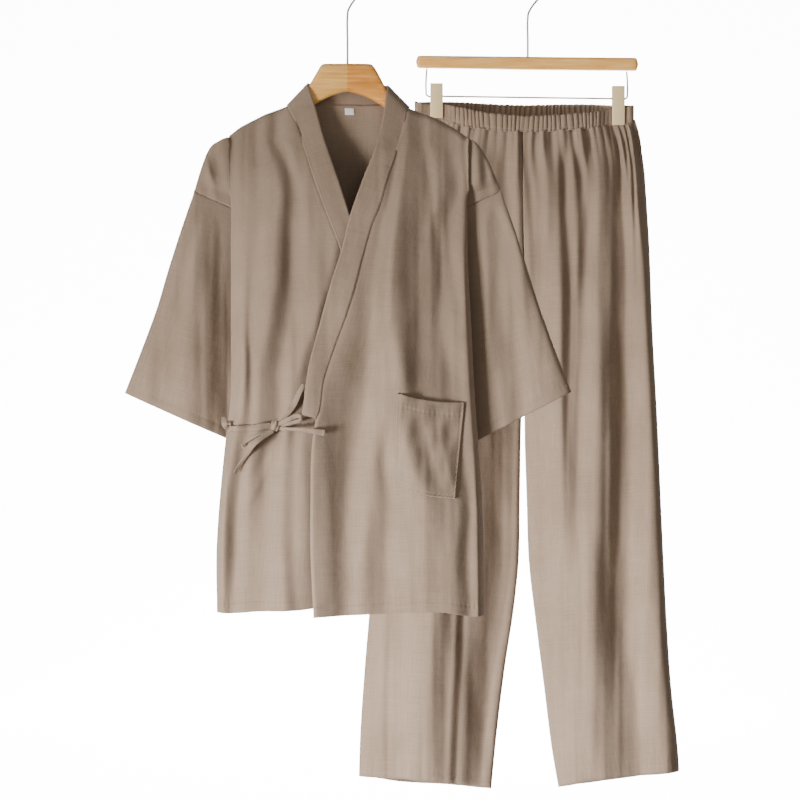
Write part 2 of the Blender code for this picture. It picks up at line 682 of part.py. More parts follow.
def wire(name, points, radius=WIRE_RADIUS):
    """A bent wire as a curve with a round section and filled caps."""
    curve = bpy.data.curves.new(name, "CURVE")
    curve.dimensions = "3D"
    curve.bevel_depth = radius * MM
    curve.bevel_resolution = 2
    curve.use_fill_caps = True
    spline = curve.splines.new("POLY")
    spline.points.add(len(points) - 1)
    for target, (x, y, drop) in zip(spline.points, points):
        target.co = (x * MM, y * MM, -drop * MM, 1)
    curve.materials.append(steel_finish)
    obj = bpy.data.objects.new(name, curve)
    garment.objects.link(obj)
    return obj


def hook(name):
    """A hanger's hook: a straight stem, a kink to the right, and an arc over the rail."""
    x, y, foot = HOOKS[name]
    rise = HOOK_RISE[name]
    centre = HOOK_RADIUS - WIRE_RADIUS - rise
    points = [(x, y, foot), (x, y, HOOK_STEM - rise), (x + 3, y, HOOK_STEM - 7 - rise)]
    for degrees in range(-48, 201, 18):
        angle = math.radians(degrees)
        points.append(
            (x + HOOK_RADIUS * math.cos(angle), y, centre - HOOK_RADIUS * math.sin(angle))
        )
    return wire(name, points)


def clip(name, at, top, low):
    """A sprung clip: two plates joined by a web under the rod, closing on the waistband."""
    rod = top + 18
    web = rod + 1.95
    half_gap = 4.7
    outline = [
        (-8.0, top), (-8.0 + CLIP_PLATE, top), (-half_gap, rod), (-half_gap, web),
        (half_gap, web), (half_gap, rod), (8.0 - CLIP_PLATE, top), (8.0, top),
        (half_gap + CLIP_PLATE + 0.6, web), (half_gap + CLIP_PLATE, low),
        (half_gap, low), (half_gap, web + 2.5), (-half_gap, web + 2.5), (-half_gap, low),
        (-half_gap - CLIP_PLATE, low), (-half_gap - CLIP_PLATE - 0.6, web),
    ]  # fmt: skip
    count = len(outline)
    points = [
        (at + side * CLIP_WIDTH / 2, TROUSER_PLANE + y, drop)
        for side in (-1, 1)
        for y, drop in outline
    ]
    faces = [(i, (i + 1) % count, count + (i + 1) % count, count + i) for i in range(count)]
    faces.append(tuple(reversed(range(count))))
    faces.append(tuple(range(count, 2 * count)))
    obj = new_object(name, points, faces, garment, steel_finish)
    obj.data.shade_flat()
    return obj


for old in list(bpy.data.objects):
    bpy.data.objects.remove(old)
garment = bpy.data.collections.new("kimono_pyjama_set")
bpy.context.scene.collection.children.link(garment)
cloth_finish = material("cloth", 0.85)
wood_finish = material("wood", 0.45)
steel_finish = material("steel", 0.35, 0.9)
label_finish = material("label", 0.8)

panel("front_under", under_y, UNDER_HEM, under_edges, columns=21, rows=PANEL_ROWS)
panel("front_over", over_y, OVER_HEM, over_edges, columns=23, rows=PANEL_ROWS)
panel("jacket_back", back_y, BACK_HEM, back_edges, columns=27, rows=BACK_ROWS)
collar()
pocket()
neck_label()
drop_shoulder("shoulder_left", -1)
drop_shoulder("shoulder_right", 1)
sleeve("sleeve_left", -1)
sleeve("sleeve_right", 1)
for tie_name, tie_sizes in TIES.items():
    ribbon(tie_name, tie_sizes)
knot()
waistband()
leg("left")
leg("right")
bar_of("hanger_wood", HANGER, 0.0)
bar_of("trouser_bar", BAR, TROUSER_PLANE)
for hook_name in HOOKS:
    hook(hook_name)
wire(
    "trouser_rod",
    [(ROD_X[0] + 1, TROUSER_PLANE, 118.0), (ROD_X[0], TROUSER_PLANE, ROD_DROPS[0] - 2)]
    + [(ROD_X[0] + 2, TROUSER_PLANE, ROD_DROPS[0])]
    + [(ROD_X[1] - 2, TROUSER_PLANE, ROD_DROPS[1]), (ROD_X[1], TROUSER_PLANE, ROD_DROPS[1] - 2)]
    + [(ROD_X[1] - 1, TROUSER_PLANE, 122.0)],
    radius=1.3,
)
for clip_name, at, top, low in zip(("clip_left", "clip_right"), CLIP_X, CLIP_TOPS, CLIP_LOW):
    clip(clip_name, at, top, low)
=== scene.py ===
# %% [markdown]
# # A kimono pyjama set, dressed over its CAD frame
# The CAD model holds the true sizes of a wrap jacket on a wooden hanger and of elastic-waist
# trousers on a clip hanger behind it. This script lays finer pieces over it.
# Every piece of cloth is a grid of points worked out by a formula from short tables, and every
# length in those tables is in millimetres. "Drop" is the distance down from the rail on which
# the jacket's hook rests, so a point's height is minus its drop.

import math

import bmesh
import bpy
import mathutils
import numpy as np
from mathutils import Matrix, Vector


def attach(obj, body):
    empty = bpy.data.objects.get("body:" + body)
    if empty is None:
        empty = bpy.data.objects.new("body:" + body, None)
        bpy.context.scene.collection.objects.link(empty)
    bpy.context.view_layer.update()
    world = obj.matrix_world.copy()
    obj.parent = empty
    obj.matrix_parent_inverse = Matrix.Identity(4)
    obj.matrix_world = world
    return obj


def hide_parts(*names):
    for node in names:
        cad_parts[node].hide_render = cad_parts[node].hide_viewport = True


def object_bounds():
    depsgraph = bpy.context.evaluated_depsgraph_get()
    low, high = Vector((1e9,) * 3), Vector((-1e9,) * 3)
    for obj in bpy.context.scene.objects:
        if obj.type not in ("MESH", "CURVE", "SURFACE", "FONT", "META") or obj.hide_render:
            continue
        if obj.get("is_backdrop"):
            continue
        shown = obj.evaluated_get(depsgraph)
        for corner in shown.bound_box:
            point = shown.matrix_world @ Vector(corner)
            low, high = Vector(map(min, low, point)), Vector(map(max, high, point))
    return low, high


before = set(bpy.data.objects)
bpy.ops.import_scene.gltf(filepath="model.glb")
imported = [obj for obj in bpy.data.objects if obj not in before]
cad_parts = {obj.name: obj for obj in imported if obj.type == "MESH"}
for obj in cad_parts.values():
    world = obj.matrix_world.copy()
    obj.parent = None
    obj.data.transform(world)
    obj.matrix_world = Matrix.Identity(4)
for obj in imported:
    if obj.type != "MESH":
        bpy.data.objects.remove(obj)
cad_low, cad_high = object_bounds()
print("CAD box from", [round(v, 3) for v in cad_low], "to", [round(v, 3) for v in cad_high])

# %% [markdown]
# ## Tables and smooth steps
# A table has named columns. It is read at any value of its first column, along a smooth cubic
# through its rows, so that a few sizes give a curve.


# %% Helpers
MM = 0.001
CLOTH = 1.0  # thickness of one layer of cloth as it shows at a hem
TROUSER_PLANE = 130.0  # the trousers hang this far behind the jacket


class Table:
    """Rows of sizes under named columns, read along a smooth cubic through the rows."""

    def __init__(self, columns, *rows):
        self.names = columns.split()
        self.rows = np.array(rows, float)

    def at(self, name, place):
        """Hermite cubic: h00 y0 + h10 m0 + h01 y1 + h11 m1, with central slopes."""
        xs = self.rows[:, 0]
        ys = self.rows[:, self.names.index(name)]
        slope = np.gradient(ys, xs)
        i = np.clip(np.searchsorted(xs, place) - 1, 0, len(xs) - 2)
        span = xs[i + 1] - xs[i]
        t = np.clip((place - xs[i]) / span, 0, 1)
        return (
            (1 + 2 * t) * (1 - t) ** 2 * ys[i]
            + t * (1 - t) ** 2 * span * slope[i]
            + t * t * (3 - 2 * t) * ys[i + 1]
            + t * t * (t - 1) * span * slope[i + 1]
        )


def fade(x):
    """0 below 0, 1 above 1, and 3t^2 - 2t^3 between."""
    t = np.clip(x, 0, 1)
    return t * t * (3 - 2 * t)


def bell(x, width):
    """exp(-(x / width)^2)"""
    return np.exp(-((x / width) ** 2))


# %% [markdown]
# ## Creases
# A hanging cloth falls in long folds that run down from where it is held. A fold table says,
# at each drop, where every crest and trough lies and how high it stands.
# Smaller creases lie between the folds. Each is a ridge or a trough along a line through
# three places, and its left and right flanks have their own widths. Crumples cover the rest.


# %% Creases
def crease_height(creases, x, drop):
    """Sum over the creases of height * window(t) * exp(-(q / width)^2), q across the crease."""
    total = np.zeros(np.broadcast(x, drop).shape)
    for top, bottom, x_top, x_mid, x_bottom, left, right, height in creases.rows:
        t = np.clip((drop - top) / (bottom - top), 0, 1)
        middle = x_top * (1 - t) * (1 - 2 * t) + 4 * x_mid * t * (1 - t) + x_bottom * t * (2 * t - 1)
        q = x - middle
        window = fade(t / 0.3) * fade((1 - t) / 0.3)
        total += height * window * bell(q, np.where(q < 0, left, right))
    return total


def fold_table(*rows):
    """One row for each drop: then x and height of every crest and trough, left to right."""
    pairs = range((len(rows[0]) - 1) // 2)
    return Table("drop " + " ".join(f"x{i} h{i}" for i in pairs), *rows)


def fold_height(folds, x, drop):
    """From each crest or trough to the next one the height goes by 3t^2 - 2t^3 of the way."""
    total = folds.at("h0", drop)
    for i in range(1, (len(folds.names) - 1) // 2):
        low, high = folds.at(f"x{i - 1}", drop), folds.at(f"x{i}", drop)
        step = folds.at(f"h{i}", drop) - folds.at(f"h{i - 1}", drop)
        total = total + step * fade((x - low) / (high - low))
    return total


def crumple(across, along, seed, height, waves=(14, 70), runs=(90, 420), count=16):
    """Shallow uneven creases: a sum of leaning cosines, each as high as its wave is long."""
    rng = np.random.default_rng(seed)
    total = np.zeros(np.broadcast(across, along).shape)
    for _ in range(count):
        wave = rng.uniform(*waves)
        run = rng.uniform(*runs) * rng.choice((-1, 1))
        phase = rng.uniform(0, 2 * np.pi)
        total += wave / waves[1] * np.cos(2 * np.pi * (across / wave + along / run) + phase)
    return height * total / math.sqrt(count / 2)


def hem_relief(distance, along, line=14.0):
    """A turned hem, seen from outside: a step of one layer, and a row of stitches that pulls
    it in and puckers it. distance is from the cloth's edge."""
    step = 0.3 * (1 - fade((distance - line + 1) / 2))
    groove = -0.45 * bell(distance - line, 1.3)
    pucker = 0.3 * np.sin(2 * np.pi * along / 6.5 + 2 * np.sin(along / 23)) * bell(distance - line, 5)
    return step + groove + pucker


# %% [markdown]
# ## The jacket's body
# The body hangs from the hanger's arms. At each drop it has a left and a right edge, and a
# share from -1 to 1 says where a point lies between them. The depth is round over the
# shoulder, full in the middle, and closes to the side seams.

# %% Body tables
BODY = Table(
    "drop left right front back tuck",
    (224, -166, 169, 24, 18, 0),
    (274, -166, 169, 32, 24, 9),
    (332, -166, 171, 40, 30, 15),
    (399, -166, 172, 46, 34, 15),
    (496, -166, 177, 52, 38, 15),
    (594, -167, 182, 56, 40, 15),
    (663, -175, 187, 58, 42, 13),
    (733, -181, 191, 60, 43, 6),
    (802, -185, 193, 62, 44, 4),
    (892, -184, 194, 62, 44, 3),
)
SHOULDER = Table(
    "x drop",
    (-166, 224), (-152, 213), (-136, 204), (-120, 196), (-100, 188), (-84, 182),
    (-45, 158), (0, 150), (45, 158),
    (86, 185), (102, 191), (129, 202), (147, 212), (169, 227),
)  # fmt: skip
UNDER_SEAM = Table(
    "drop x",
    (182, -84), (203, -74), (238, -62), (275, -50), (315, -36), (358, -19), (413, 1),
    (485, 22), (555, 40), (617, 51), (890, 56),
)  # fmt: skip
OVER_SEAM = Table(
    "drop x",
    (187, 86), (215, 79), (252, 68), (284, 57), (322, 46), (352, 34), (394, 22), (437, 11),
    (479, -2), (514, -15), (541, -24), (567, -32), (604, -37), (619, -42), (640, -46),
    (733, -50), (800, -50), (894, -46),
)  # fmt: skip
UNDER_HEM = Table("x drop", (-190, 888), (-171, 890), (-124, 887), (-56, 884), (-24, 879), (80, 879))
OVER_HEM = Table("x drop", (-55, 895), (4, 892), (44, 890), (135, 888), (185, 894), (200, 891))
BACK_HEM = Table("x drop", (-190, 886), (0, 884), (200, 887))
NECK_TOP = {"under": 182.0, "over": 185.0, "back": 180.2}
ARMHOLE = 12.0  # half of the armhole's width from front to back
SIDE_SEAM = 0.55
RIM_GAP = 0.55  # half of the gap where front and back meet along the shoulder
RIM = 11.0  # roundness of the cloth over the hanger's arm
HANG = 9.0  # cloth to the hanger's middle plane, just below the shoulder line
DRAPE = 70.0  # how soon the cloth leaves the hanger's arm
TUCK_REACH = 165.0
LAP = 5.0  # the upper front lies this far in front of the lower one
HIDDEN = 12.0  # the lower front is let down this far where the upper one covers it
UNDER_DIP = 1.8  # the lower front sinks this far under the collar
OVER_DIP = 1.2  # the upper front sinks this far under the collar
FULLNESS = 1.6  # how far the folds stand out, against their tables
LONG_RUNS = (300, 1200)
FINE_WAVES = (8, 26)
FINE_RUNS = (500, 1600)
CREASE_COLUMNS = "top bottom x_top x_mid x_bottom left right height"
UNDER_FOLDS = fold_table(
    (232, -160, 0, -140, 1, -130, 0, -114, 2, -98, -1, -81, 2, -60, 0),
    (296, -160, 0, -140, 1, -130, 0, -96, 4, -73, -2, -60, 0, -40, 0),
    (360, -160, -1, -141, 1.5, -131, 0.5, -101, 5, -75, -4, -50, 0, -20, 0),
    (424, -160, -1, -142, 2, -132, 1, -103, 6, -76, -5, -48, -1, -10, 0),
    (488, -162, -2, -144, 3.5, -135, 1.5, -111, 5.5, -79, -5.5, -46, 0, 0, 0),
    (552, -164, -3, -143, 7, -132, 2, -124, 3, -91, -6, -50, 0, -10, 0),
    (616, -166, -2, -149, 7, -134, 2, -126, 3, -90, -5, -55, 3, -22, -2),
    (680, -174, 2, -163, 8, -143, 0, -134, 1, -112, -7, -60, 6, -24, -3),
    (744, -180, 2, -172, 6, -150, -3, -141, -2, -116, -6, -58, 8, -24, -3),
    (808, -183, 1, -176, 5, -152, -5, -140, -4, -125, -5, -61, 7, -24, -3),
    (872, -183, 0, -178, 3, -158, -3, -140, -1, -125, -2, -68, 6, -24, -3),
)
UNDER_CREASES = Table(
    CREASE_COLUMNS,
    (240, 470, -86, -88, -92, 6, 7, 1.6),
    (360, 560, -44, -40, -46, 8, 10, 2),
    (440, 700, -78, -78, -88, 8, 5, 2.5),
    (230, 420, -134, -130, -136, 10, 8, 1.6),
    (620, 760, -80, -112, -150, 10, 7, 2.2),
    (640, 1000, -94, -100, -108, 8, 7, 1.6),
)
OVER_FOLDS = fold_table(
    (232, 70, 0, 75, 0, 77, 0.5, 79, 1, 84, 2, 103, -1.5, 117, 1, 140, -0.5, 165, 1),
    (296, 54, 0, 62, -1, 65, 0, 68, 1, 76, 3, 108, -2, 130, 0.5, 153, -2, 167, 1),
    (360, 34, 0, 46, -1, 52, 0.5, 58, 2, 68, 4.5, 104, -4, 116, -2.5, 134, -4.5, 167, 2),
    (424, 16, 0, 36, -1, 43, 1, 50, 2.5, 64, 6, 98, -3.5, 118, -2.5, 133, -6, 168, 4),
    (488, -4, 1, 32, -3.5, 42, 0, 50, 1.5, 65, 5, 100, -4.5, 118, -4, 130, -5.5, 169, 4),
    (552, -26, 4, 26, -9, 44, -3, 54, 2, 74, 7, 98, -0.5, 120, -1.5, 141, -4.5, 174, 4),
    (616, -42, 6, 18, -11, 44, 0, 54, 2.5, 80, 8, 104, 3, 124, 2, 146, -2, 178, 4),
    (680, -46, 7, 10, -11, 38, 0, 52, -3, 92, 10, 122, 5, 136, 4, 160, 0, 182, 4),
    (744, -50, 6, 4, -9.5, 36, -3, 62, -6, 116, 11.5, 140, 8, 152, 7, 170, 2, 185, 6),
    (808, -50, 5, 3, -8.5, 22, -5.5, 58, -9.5, 120, 10, 138, 11, 148, 11, 167, 4, 187, 8),
    (872, -48, 4, 3, -8, 20, -6, 60, -9, 122, 8, 140, 9, 150, 9, 170, 4, 188, 7),
)
OVER_CREASES = Table(
    CREASE_COLUMNS,
    (300, 560, 66, 60, 54, 6, 5, 1.8),
    (240, 520, 126, 144, 158, 7, 9, -1.6),
    (230, 400, 112, 118, 128, 6, 8, -1.6),
    (440, 900, 26, 16, -6, 9, 8, 1.8),
    (700, 1000, 84, 96, 110, 7, 9, -1.8),
    (660, 1000, -24, -20, -16, 8, 10, 2),
)
BACK_CREASES = Table(
    CREASE_COLUMNS,
    (250, 900, -118, -128, -140, 14, 8, 6),
    (230, 820, -84, -78, -92, 9, 14, -5),
    (240, 960, -30, -44, -52, 16, 8, 5),
    (300, 900, 2, 8, -4, 10, 12, -4),
    (260, 1000, 40, 48, 62, 14, 8, 5),
    (230, 760, 86, 92, 84, 9, 12, -5),
    (280, 960, 118, 130, 146, 12, 8, 6),
    (600, 1000, -70, -74, -84, 9, 7, 3),
    (560, 960, 96, 104, 112, 9, 7, 3),
)


# %% Body surfaces
def body_share(x, drop):
    """Where x lies between the body's sides, from -1 at the left edge to 1 at the right."""
    left = BODY.at("left", drop)
    right = BODY.at("right", drop)
    return np.clip((x - (left + right) / 2) / ((right - left) / 2), -1, 1)


def armhole_open(drop):
    """1 along the armhole, 0 at the shoulder's end and below the armpit."""
    opened = np.sqrt(1 - (1 - np.clip((drop - 224) / RIM, 0, 1)) ** 2)
    return opened * (1 - fade((drop - 298) / 32))


def armhole(drop):
    """Half width of the armhole at this drop, and of the side seam below the armpit."""
    return ARMHOLE * armhole_open(drop) + SIDE_SEAM


def body_depth(side, share, x, drop):
    """From the hanger's plane to the cloth: sqrt(1 - (1 - b)^2) over the arm, then away from
    it as 1 - exp(-b / DRAPE), times (1 - share^2)^(1/4) towards the side seam."""
    below = np.maximum(drop - SHOULDER.at("drop", x), 0)
    over = np.sqrt(1 - (1 - np.clip(below / RIM, 0, 1)) ** 2)
    leave = 1 - np.exp(-below / DRAPE)
    flank = (1 - share**2) ** 0.25
    arm = 1 + (flank - 1) * fade((drop - 230) / 90)
    depth = HANG * over * arm + (BODY.at(side, drop) - HANG) * leave * flank
    depth = np.hypot(depth, armhole(drop) * np.exp(-(1 - np.abs(share)) / 0.03))
    return np.maximum(depth, RIM_GAP)


def calm_sides(share):
    """1 over the panel, and 0 at its side seams, where the folds are sewn flat."""
    return fade((1 - np.abs(share)) / 0.07)


def under_front(x, drop):
    """The lower front as it would hang with nothing over it: what the ties lie on."""
    share = body_share(x, drop)
    creased = crease_height(UNDER_CREASES, x, drop) + FULLNESS * fold_height(UNDER_FOLDS, x, drop)
    creased = creased + crumple(x, drop, 3, 0.8, runs=LONG_RUNS)
    creased = creased + crumple(x, drop, 31, 0.2, FINE_WAVES, FINE_RUNS)
    outwards = creased * calm_sides(share) + hem_relief(UNDER_HEM.at("drop", x) - drop, x)
    return -body_depth("front", share, x, drop) - outwards


def covered(x, drop):
    """1 where the upper front lies over the lower one."""
    return fade((x - OVER_SEAM.at("x", drop) + 42) / 22) * fade((drop - 340) / 50)


def under_y(x, drop):
    """The lower front, let down under the upper one and under the collar's seam."""
    under_collar = fade((x - UNDER_SEAM.at("x", drop) + 0.6) / 2.4)
    return under_front(x, drop) + HIDDEN * covered(x, drop) + UNDER_DIP * under_collar


def over_relief(x, drop):
    """The upper front's folds, creases and crumples together."""
    creased = crease_height(OVER_CREASES, x, drop) + FULLNESS * fold_height(OVER_FOLDS, x, drop)
    creased = creased + crumple(x, drop, 5, 0.8, runs=LONG_RUNS)
    return creased + crumple(x, drop, 35, 0.2, FINE_WAVES, FINE_RUNS)


def over_y(x, drop):
    """The upper front, with its pocket's stretch kept calm."""
    share = body_share(x, drop)
    pocketed = fade((x - 50) / 25) * fade((180 - x) / 25) * fade((drop - 560) / 40)
    creased = (1 - 0.35 * pocketed) * over_relief(x, drop)
    outwards = creased * calm_sides(share) + hem_relief(OVER_HEM.at("drop", x) - drop, x)
    outwards = outwards + LAP * (1 - fade((x - 85) / 40)) * fade((drop - SHOULDER.at("drop", x)) / 60)
    seam = OVER_SEAM.at("x", drop)
    collared = 1 - fade((drop - 610) / 8)
    outwards = outwards - OVER_DIP * fade((seam + 0.6 - x) / 2.4) * collared
    outwards = outwards + (1 - collared) * hem_relief(x - seam, drop, line=9.0)
    return -body_depth("front", share, x, drop) - outwards


def back_y(x, drop):
    """The back panel. The photograph hides it, so its creases are guessed."""
    share = body_share(x, drop)
    creased = crease_height(BACK_CREASES, x, drop) + crumple(x, drop, 7, 0.9)
    outwards = creased * calm_sides(share) + hem_relief(BACK_HEM.at("drop", x) - drop, x)
    return body_depth("back", share, x, drop) + outwards


# %% Body panels
def crowded(u):
    """Maps 0 to 1 onto itself with its points close together near 0."""
    return 0.35 * u + 0.65 * u * u


def under_edges(u, drop):
    """From the left side seam to a little way under the collar."""
    end = np.arccos(-body_share(UNDER_SEAM.at("x", drop) + 3, drop))
    return -np.cos(end * crowded(u))


def over_edges(u, drop):
    """From under the collar, or from the free front edge below it, to the right side seam."""
    under_collar = 3 * (1 - fade((drop - 606) / 8))
    end = np.arccos(body_share(OVER_SEAM.at("x", drop) - under_collar, drop))
    return np.cos(end * crowded(1 - u))


def back_edges(u, drop):
    """From side seam to side seam."""
    return -np.cos(np.pi * (0.3 * u + 0.7 * u * u * (3 - 2 * u)))


def panel_grid(name, surface, hem, edges, columns, rows):
    """Points between two edges, from the shoulder line to the hem, with the rows close
    together at both ends, where the cloth turns over the arm and where the hem is sewn."""
    t = np.linspace(0, 1, rows)
    u, v = np.meshgrid(np.linspace(0, 1, columns), t - 0.09 * np.sin(2 * np.pi * t))
    drop = 200 + 690 * v
    for _ in range(8):
        share = edges(u, drop)
        left = BODY.at("left", drop)
        right = BODY.at("right", drop)
        x = (left + right) / 2 + share * (right - left) / 2
        top = np.maximum(SHOULDER.at("drop", x), NECK_TOP[name])
        drop = top + (hem.at("drop", x) - top) * v
    tuck = BODY.at("tuck", drop) * (1 - armhole_open(drop))
    tuck = tuck * np.exp(-TUCK_REACH * (1 - np.abs(share)))
    return np.stack([x - np.sign(share) * tuck, surface(x, drop), drop], axis=-1)


under_grid = panel_grid("under", under_y, UNDER_HEM, under_edges, columns=105, rows=220)
over_grid = panel_grid("over", over_y, OVER_HEM, over_edges, columns=110, rows=220)
back_grid = panel_grid("back", back_y, BACK_HEM, back_edges, columns=120, rows=150)
print("panels hold", under_grid.size // 3 + over_grid.size // 3 + back_grid.size // 3, "points")


# %% [markdown]
# ## Collar, pocket and label
# The collar is one folded strip, given pair by pair: its seam on the fronts and its free
# edge. It lies on the fronts, leaves them near the shoulder, and goes round the hanger.

# %% Collar, pocket and label
COLLAR = Table(
    "step seam_x seam_drop edge_x edge_drop neck_y on_front",
    (0, 51, 617, 76, 617, 0, 1),
    (1, 40, 555, 66, 558, 0, 1),
    (2, 22, 485, 47, 485, 0, 1),
    (3, 1, 413, 28, 410, 0, 1),
    (4, -19, 358, 8, 350, 0, 1),
    (5, -36, 315, -7, 303, 0, 1),
    (6, -50, 275, -20, 264, 0, 1),
    (7, -62, 238, -33, 226, 0, 1),
    (8, -74, 203, -44, 186, -14, 0.5),
    (9, -82, 188, -52, 161, -11, 0),
    (10, -85, 181, -55, 150, 0, 0),
    (11, -82, 182, -53, 150, 11, 0),
    (12, -66, 182.5, -44, 150, 14, 0),
    (13, 0, 182, 0, 149, 15, 0),
    (14, 66, 184, 44, 151, 14, 0),
    (15, 83, 185, 54, 153, 11, 0),
    (16, 87, 184, 56, 153, 0, 0),
    (17, 84, 192, 54, 166, -11, 0),
    (18, 79, 215, 50, 197, -14, 0.6),
    (19, 68, 252, 39, 242, 0, 1),
    (20, 57, 284, 26, 275, 0, 1),
    (21, 46, 322, 13, 310, 0, 1),
    (22, 34, 352, 2, 344, 0, 1),
    (23, 22, 394, -8, 386, 0, 1),
    (24, 11, 437, -22, 430, 0, 1),
    (25, -2, 479, -34, 474, 0, 1),
    (26, -15, 514, -45, 515, 0, 1),
    (27, -24, 541, -52, 544, 0, 1),
    (28, -32, 567, -56, 567, 0, 1),
    (29, -37, 604, -60, 600, 0, 1),
    (30, -42, 619, -62, 614, 0, 1),
)
COLLAR_LAP_FROM = 13.0
COLLAR_LIFT = 0.3
POCKET = {"left": (69, 584, 67, 710), "right": (163, 597, 150, 730), "sag": 5.0}
LABEL = {"left": -4.0, "right": 9.0, "top": 184.0, "bottom": 193.5, "lift": 1.3}


def collar_grid(stations=460, across=13):
    """The strip, with puckers along its sewn edge and a shallow roll along its fold."""
    step, w = np.meshgrid(np.linspace(0, 30, stations), np.linspace(0, 1, across), indexing="ij")
    seam_x = COLLAR.at("seam_x", step)
    edge_x = COLLAR.at("edge_x", step)
    seam_drop = COLLAR.at("seam_drop", step)
    edge_drop = COLLAR.at("edge_drop", step)
    x = seam_x + (edge_x - seam_x) * w
    drop = seam_drop + (edge_drop - seam_drop) * w
    on_over = step > COLLAR_LAP_FROM
    share = body_share(x, drop)
    bare = np.where(
        on_over,
        -body_depth("front", share, x, drop) - LAP * fade((drop - SHOULDER.at("drop", x)) / 60),
        under_y(np.minimum(x, UNDER_SEAM.at("x", drop) - 3), drop) * 0.5
        - body_depth("front", share, x, drop) * 0.5,
    )
    creased = np.where(on_over, over_relief(x, drop), 0.0)
    front = bare - creased - COLLAR_LIFT + np.where(on_over, 0.0, HIDDEN / 2 * covered(x, drop))
    on_front = np.clip(COLLAR.at("on_front", step), 0, 1)
    y = COLLAR.at("neck_y", step) * (1 - on_front) + front * on_front
    along = step * 34.0
    width = np.hypot(edge_x - seam_x, edge_drop - seam_drop)
    pucker = 0.25 * np.sin(2 * np.pi * along / 7.5 + 2 * np.sin(along / 31)) * bell(w * width - 3, 5)
    groove = -0.4 * bell(w * width - 3, 1.2)
    outwards = (pucker + groove + crumple(w * width, along, 9, 0.35, waves=(14, 60))) * on_front
    return np.stack([x, y - outwards, drop], axis=-1)


def pocket_grid(columns=56, rows=76):
    """The panel's own points, moved out: sewn down at three sides, with a sagging mouth."""
    u, v = np.meshgrid(np.linspace(0, 1, columns), np.linspace(0, 1, rows))
    left_x, left_top, low_x, left_low = POCKET["left"]
    right_x, right_top, far_x, right_low = POCKET["right"]
    x = (left_x + (right_x - left_x) * u) * (1 - v) + (low_x + (far_x - low_x) * u) * v
    top = left_top + (right_top - left_top) * u + POCKET["sag"] * np.sin(np.pi * u) * 0.8
    low = left_low + (right_low - left_low) * u + POCKET["sag"] * np.sin(np.pi * u)
    drop = top + (low - top) * v
    free = np.sin(np.pi * u) ** 0.7 * fade((1 - v) / 0.25)
    lift = 1.6 + free * (1.0 + 3.2 * np.exp(-v / 0.16))
    edge = np.minimum(np.minimum(u, 1 - u) * 95, (1 - v) * 130)
    relief = 1.8 * hem_relief(edge, u * 95 + v * 130, line=2.6)
    mouth = hem_relief(v * 130, u * 95, line=17.0)
    wrinkle = crumple(x, drop, 13, 0.7, waves=(14, 50), runs=(40, 120)) * fade(edge / 12)
    return np.stack([x, over_y(x, drop) - lift - relief - mouth - wrinkle, drop], axis=-1)


def label_grid():
    """A short folded tape under the back neck's seam."""
    u, v = np.meshgrid(np.linspace(0, 1, 9), np.linspace(0, 1, 9))
    x = LABEL["left"] + (LABEL["right"] - LABEL["left"]) * u + 0.4 * v
    drop = LABEL["top"] + (LABEL["bottom"] - LABEL["top"]) * v + 0.3 * u
    y = back_y(x, drop) - LABEL["lift"] - 0.5 * np.sin(np.pi * v)
    return np.stack([x, y, drop], axis=-1)


collar_points = collar_grid()
pocket_points = pocket_grid()
print("collar runs", round(float(np.ptp(collar_points[..., 2]))), "mm down from the neck")

# %% [markdown]
# ## Sleeves
# The panels fall over the shoulder to a low seam, and a flat wide tube hangs from it.
# Going round the tube, s runs from its outer fold, along the front to the inner fold and back.

# %% Sleeves
SLEEVE_RUN = 292.0  # about a sleeve's length, to place the cuff's hem
SHOULDER_ROWS = {
    -1: Table(
        "row outer_x outer_drop inner_drop",
        (0, -178, 229.5, 225.5), (1, -190, 237, 247), (2, -198, 250, 268), (3, -206, 272, 296),
        (4, -215, 302, 329),
    ),
    1: Table(
        "row outer_x outer_drop inner_drop",
        (0, 180, 233, 228), (1, 191, 247, 249), (2, 199, 262, 270), (3, 207, 281, 298),
        (4, 215, 301, 329),
    ),
}  # fmt: skip
SLEEVE_ROWS = {
    -1: Table(
        "row outer_x outer_drop inner_x inner_drop depth",
        (0, -215, 302.8, -155, 328.6, 3), (1, -232, 352, -159, 380, 14),
        (2, -250, 408, -159, 436, 23), (3, -268, 468, -159, 500, 27),
        (4, -291, 530, -159, 580, 28), (5, -312, 584, -161, 651, 26),
    ),
    1: Table(
        "row outer_x outer_drop inner_x inner_drop depth",
        (0, 215, 301.8, 160, 328.6, 3), (1, 233, 352, 164, 380, 12),
        (2, 251, 408, 166, 436, 17), (3, 270, 468, 170, 500, 19),
        (4, 292, 528, 173, 580, 20), (5, 313, 582, 176, 653, 20),
    ),
}  # fmt: skip
SLEEVE_CREST = {
    -1: Table("row x", (0, -200), (1, -208), (2, -214), (3, -217), (4, -222), (5, -226)),
    1: Table("row x", (0, 208), (1, 226), (2, 240), (3, 254), (4, 270), (5, 284)),
}
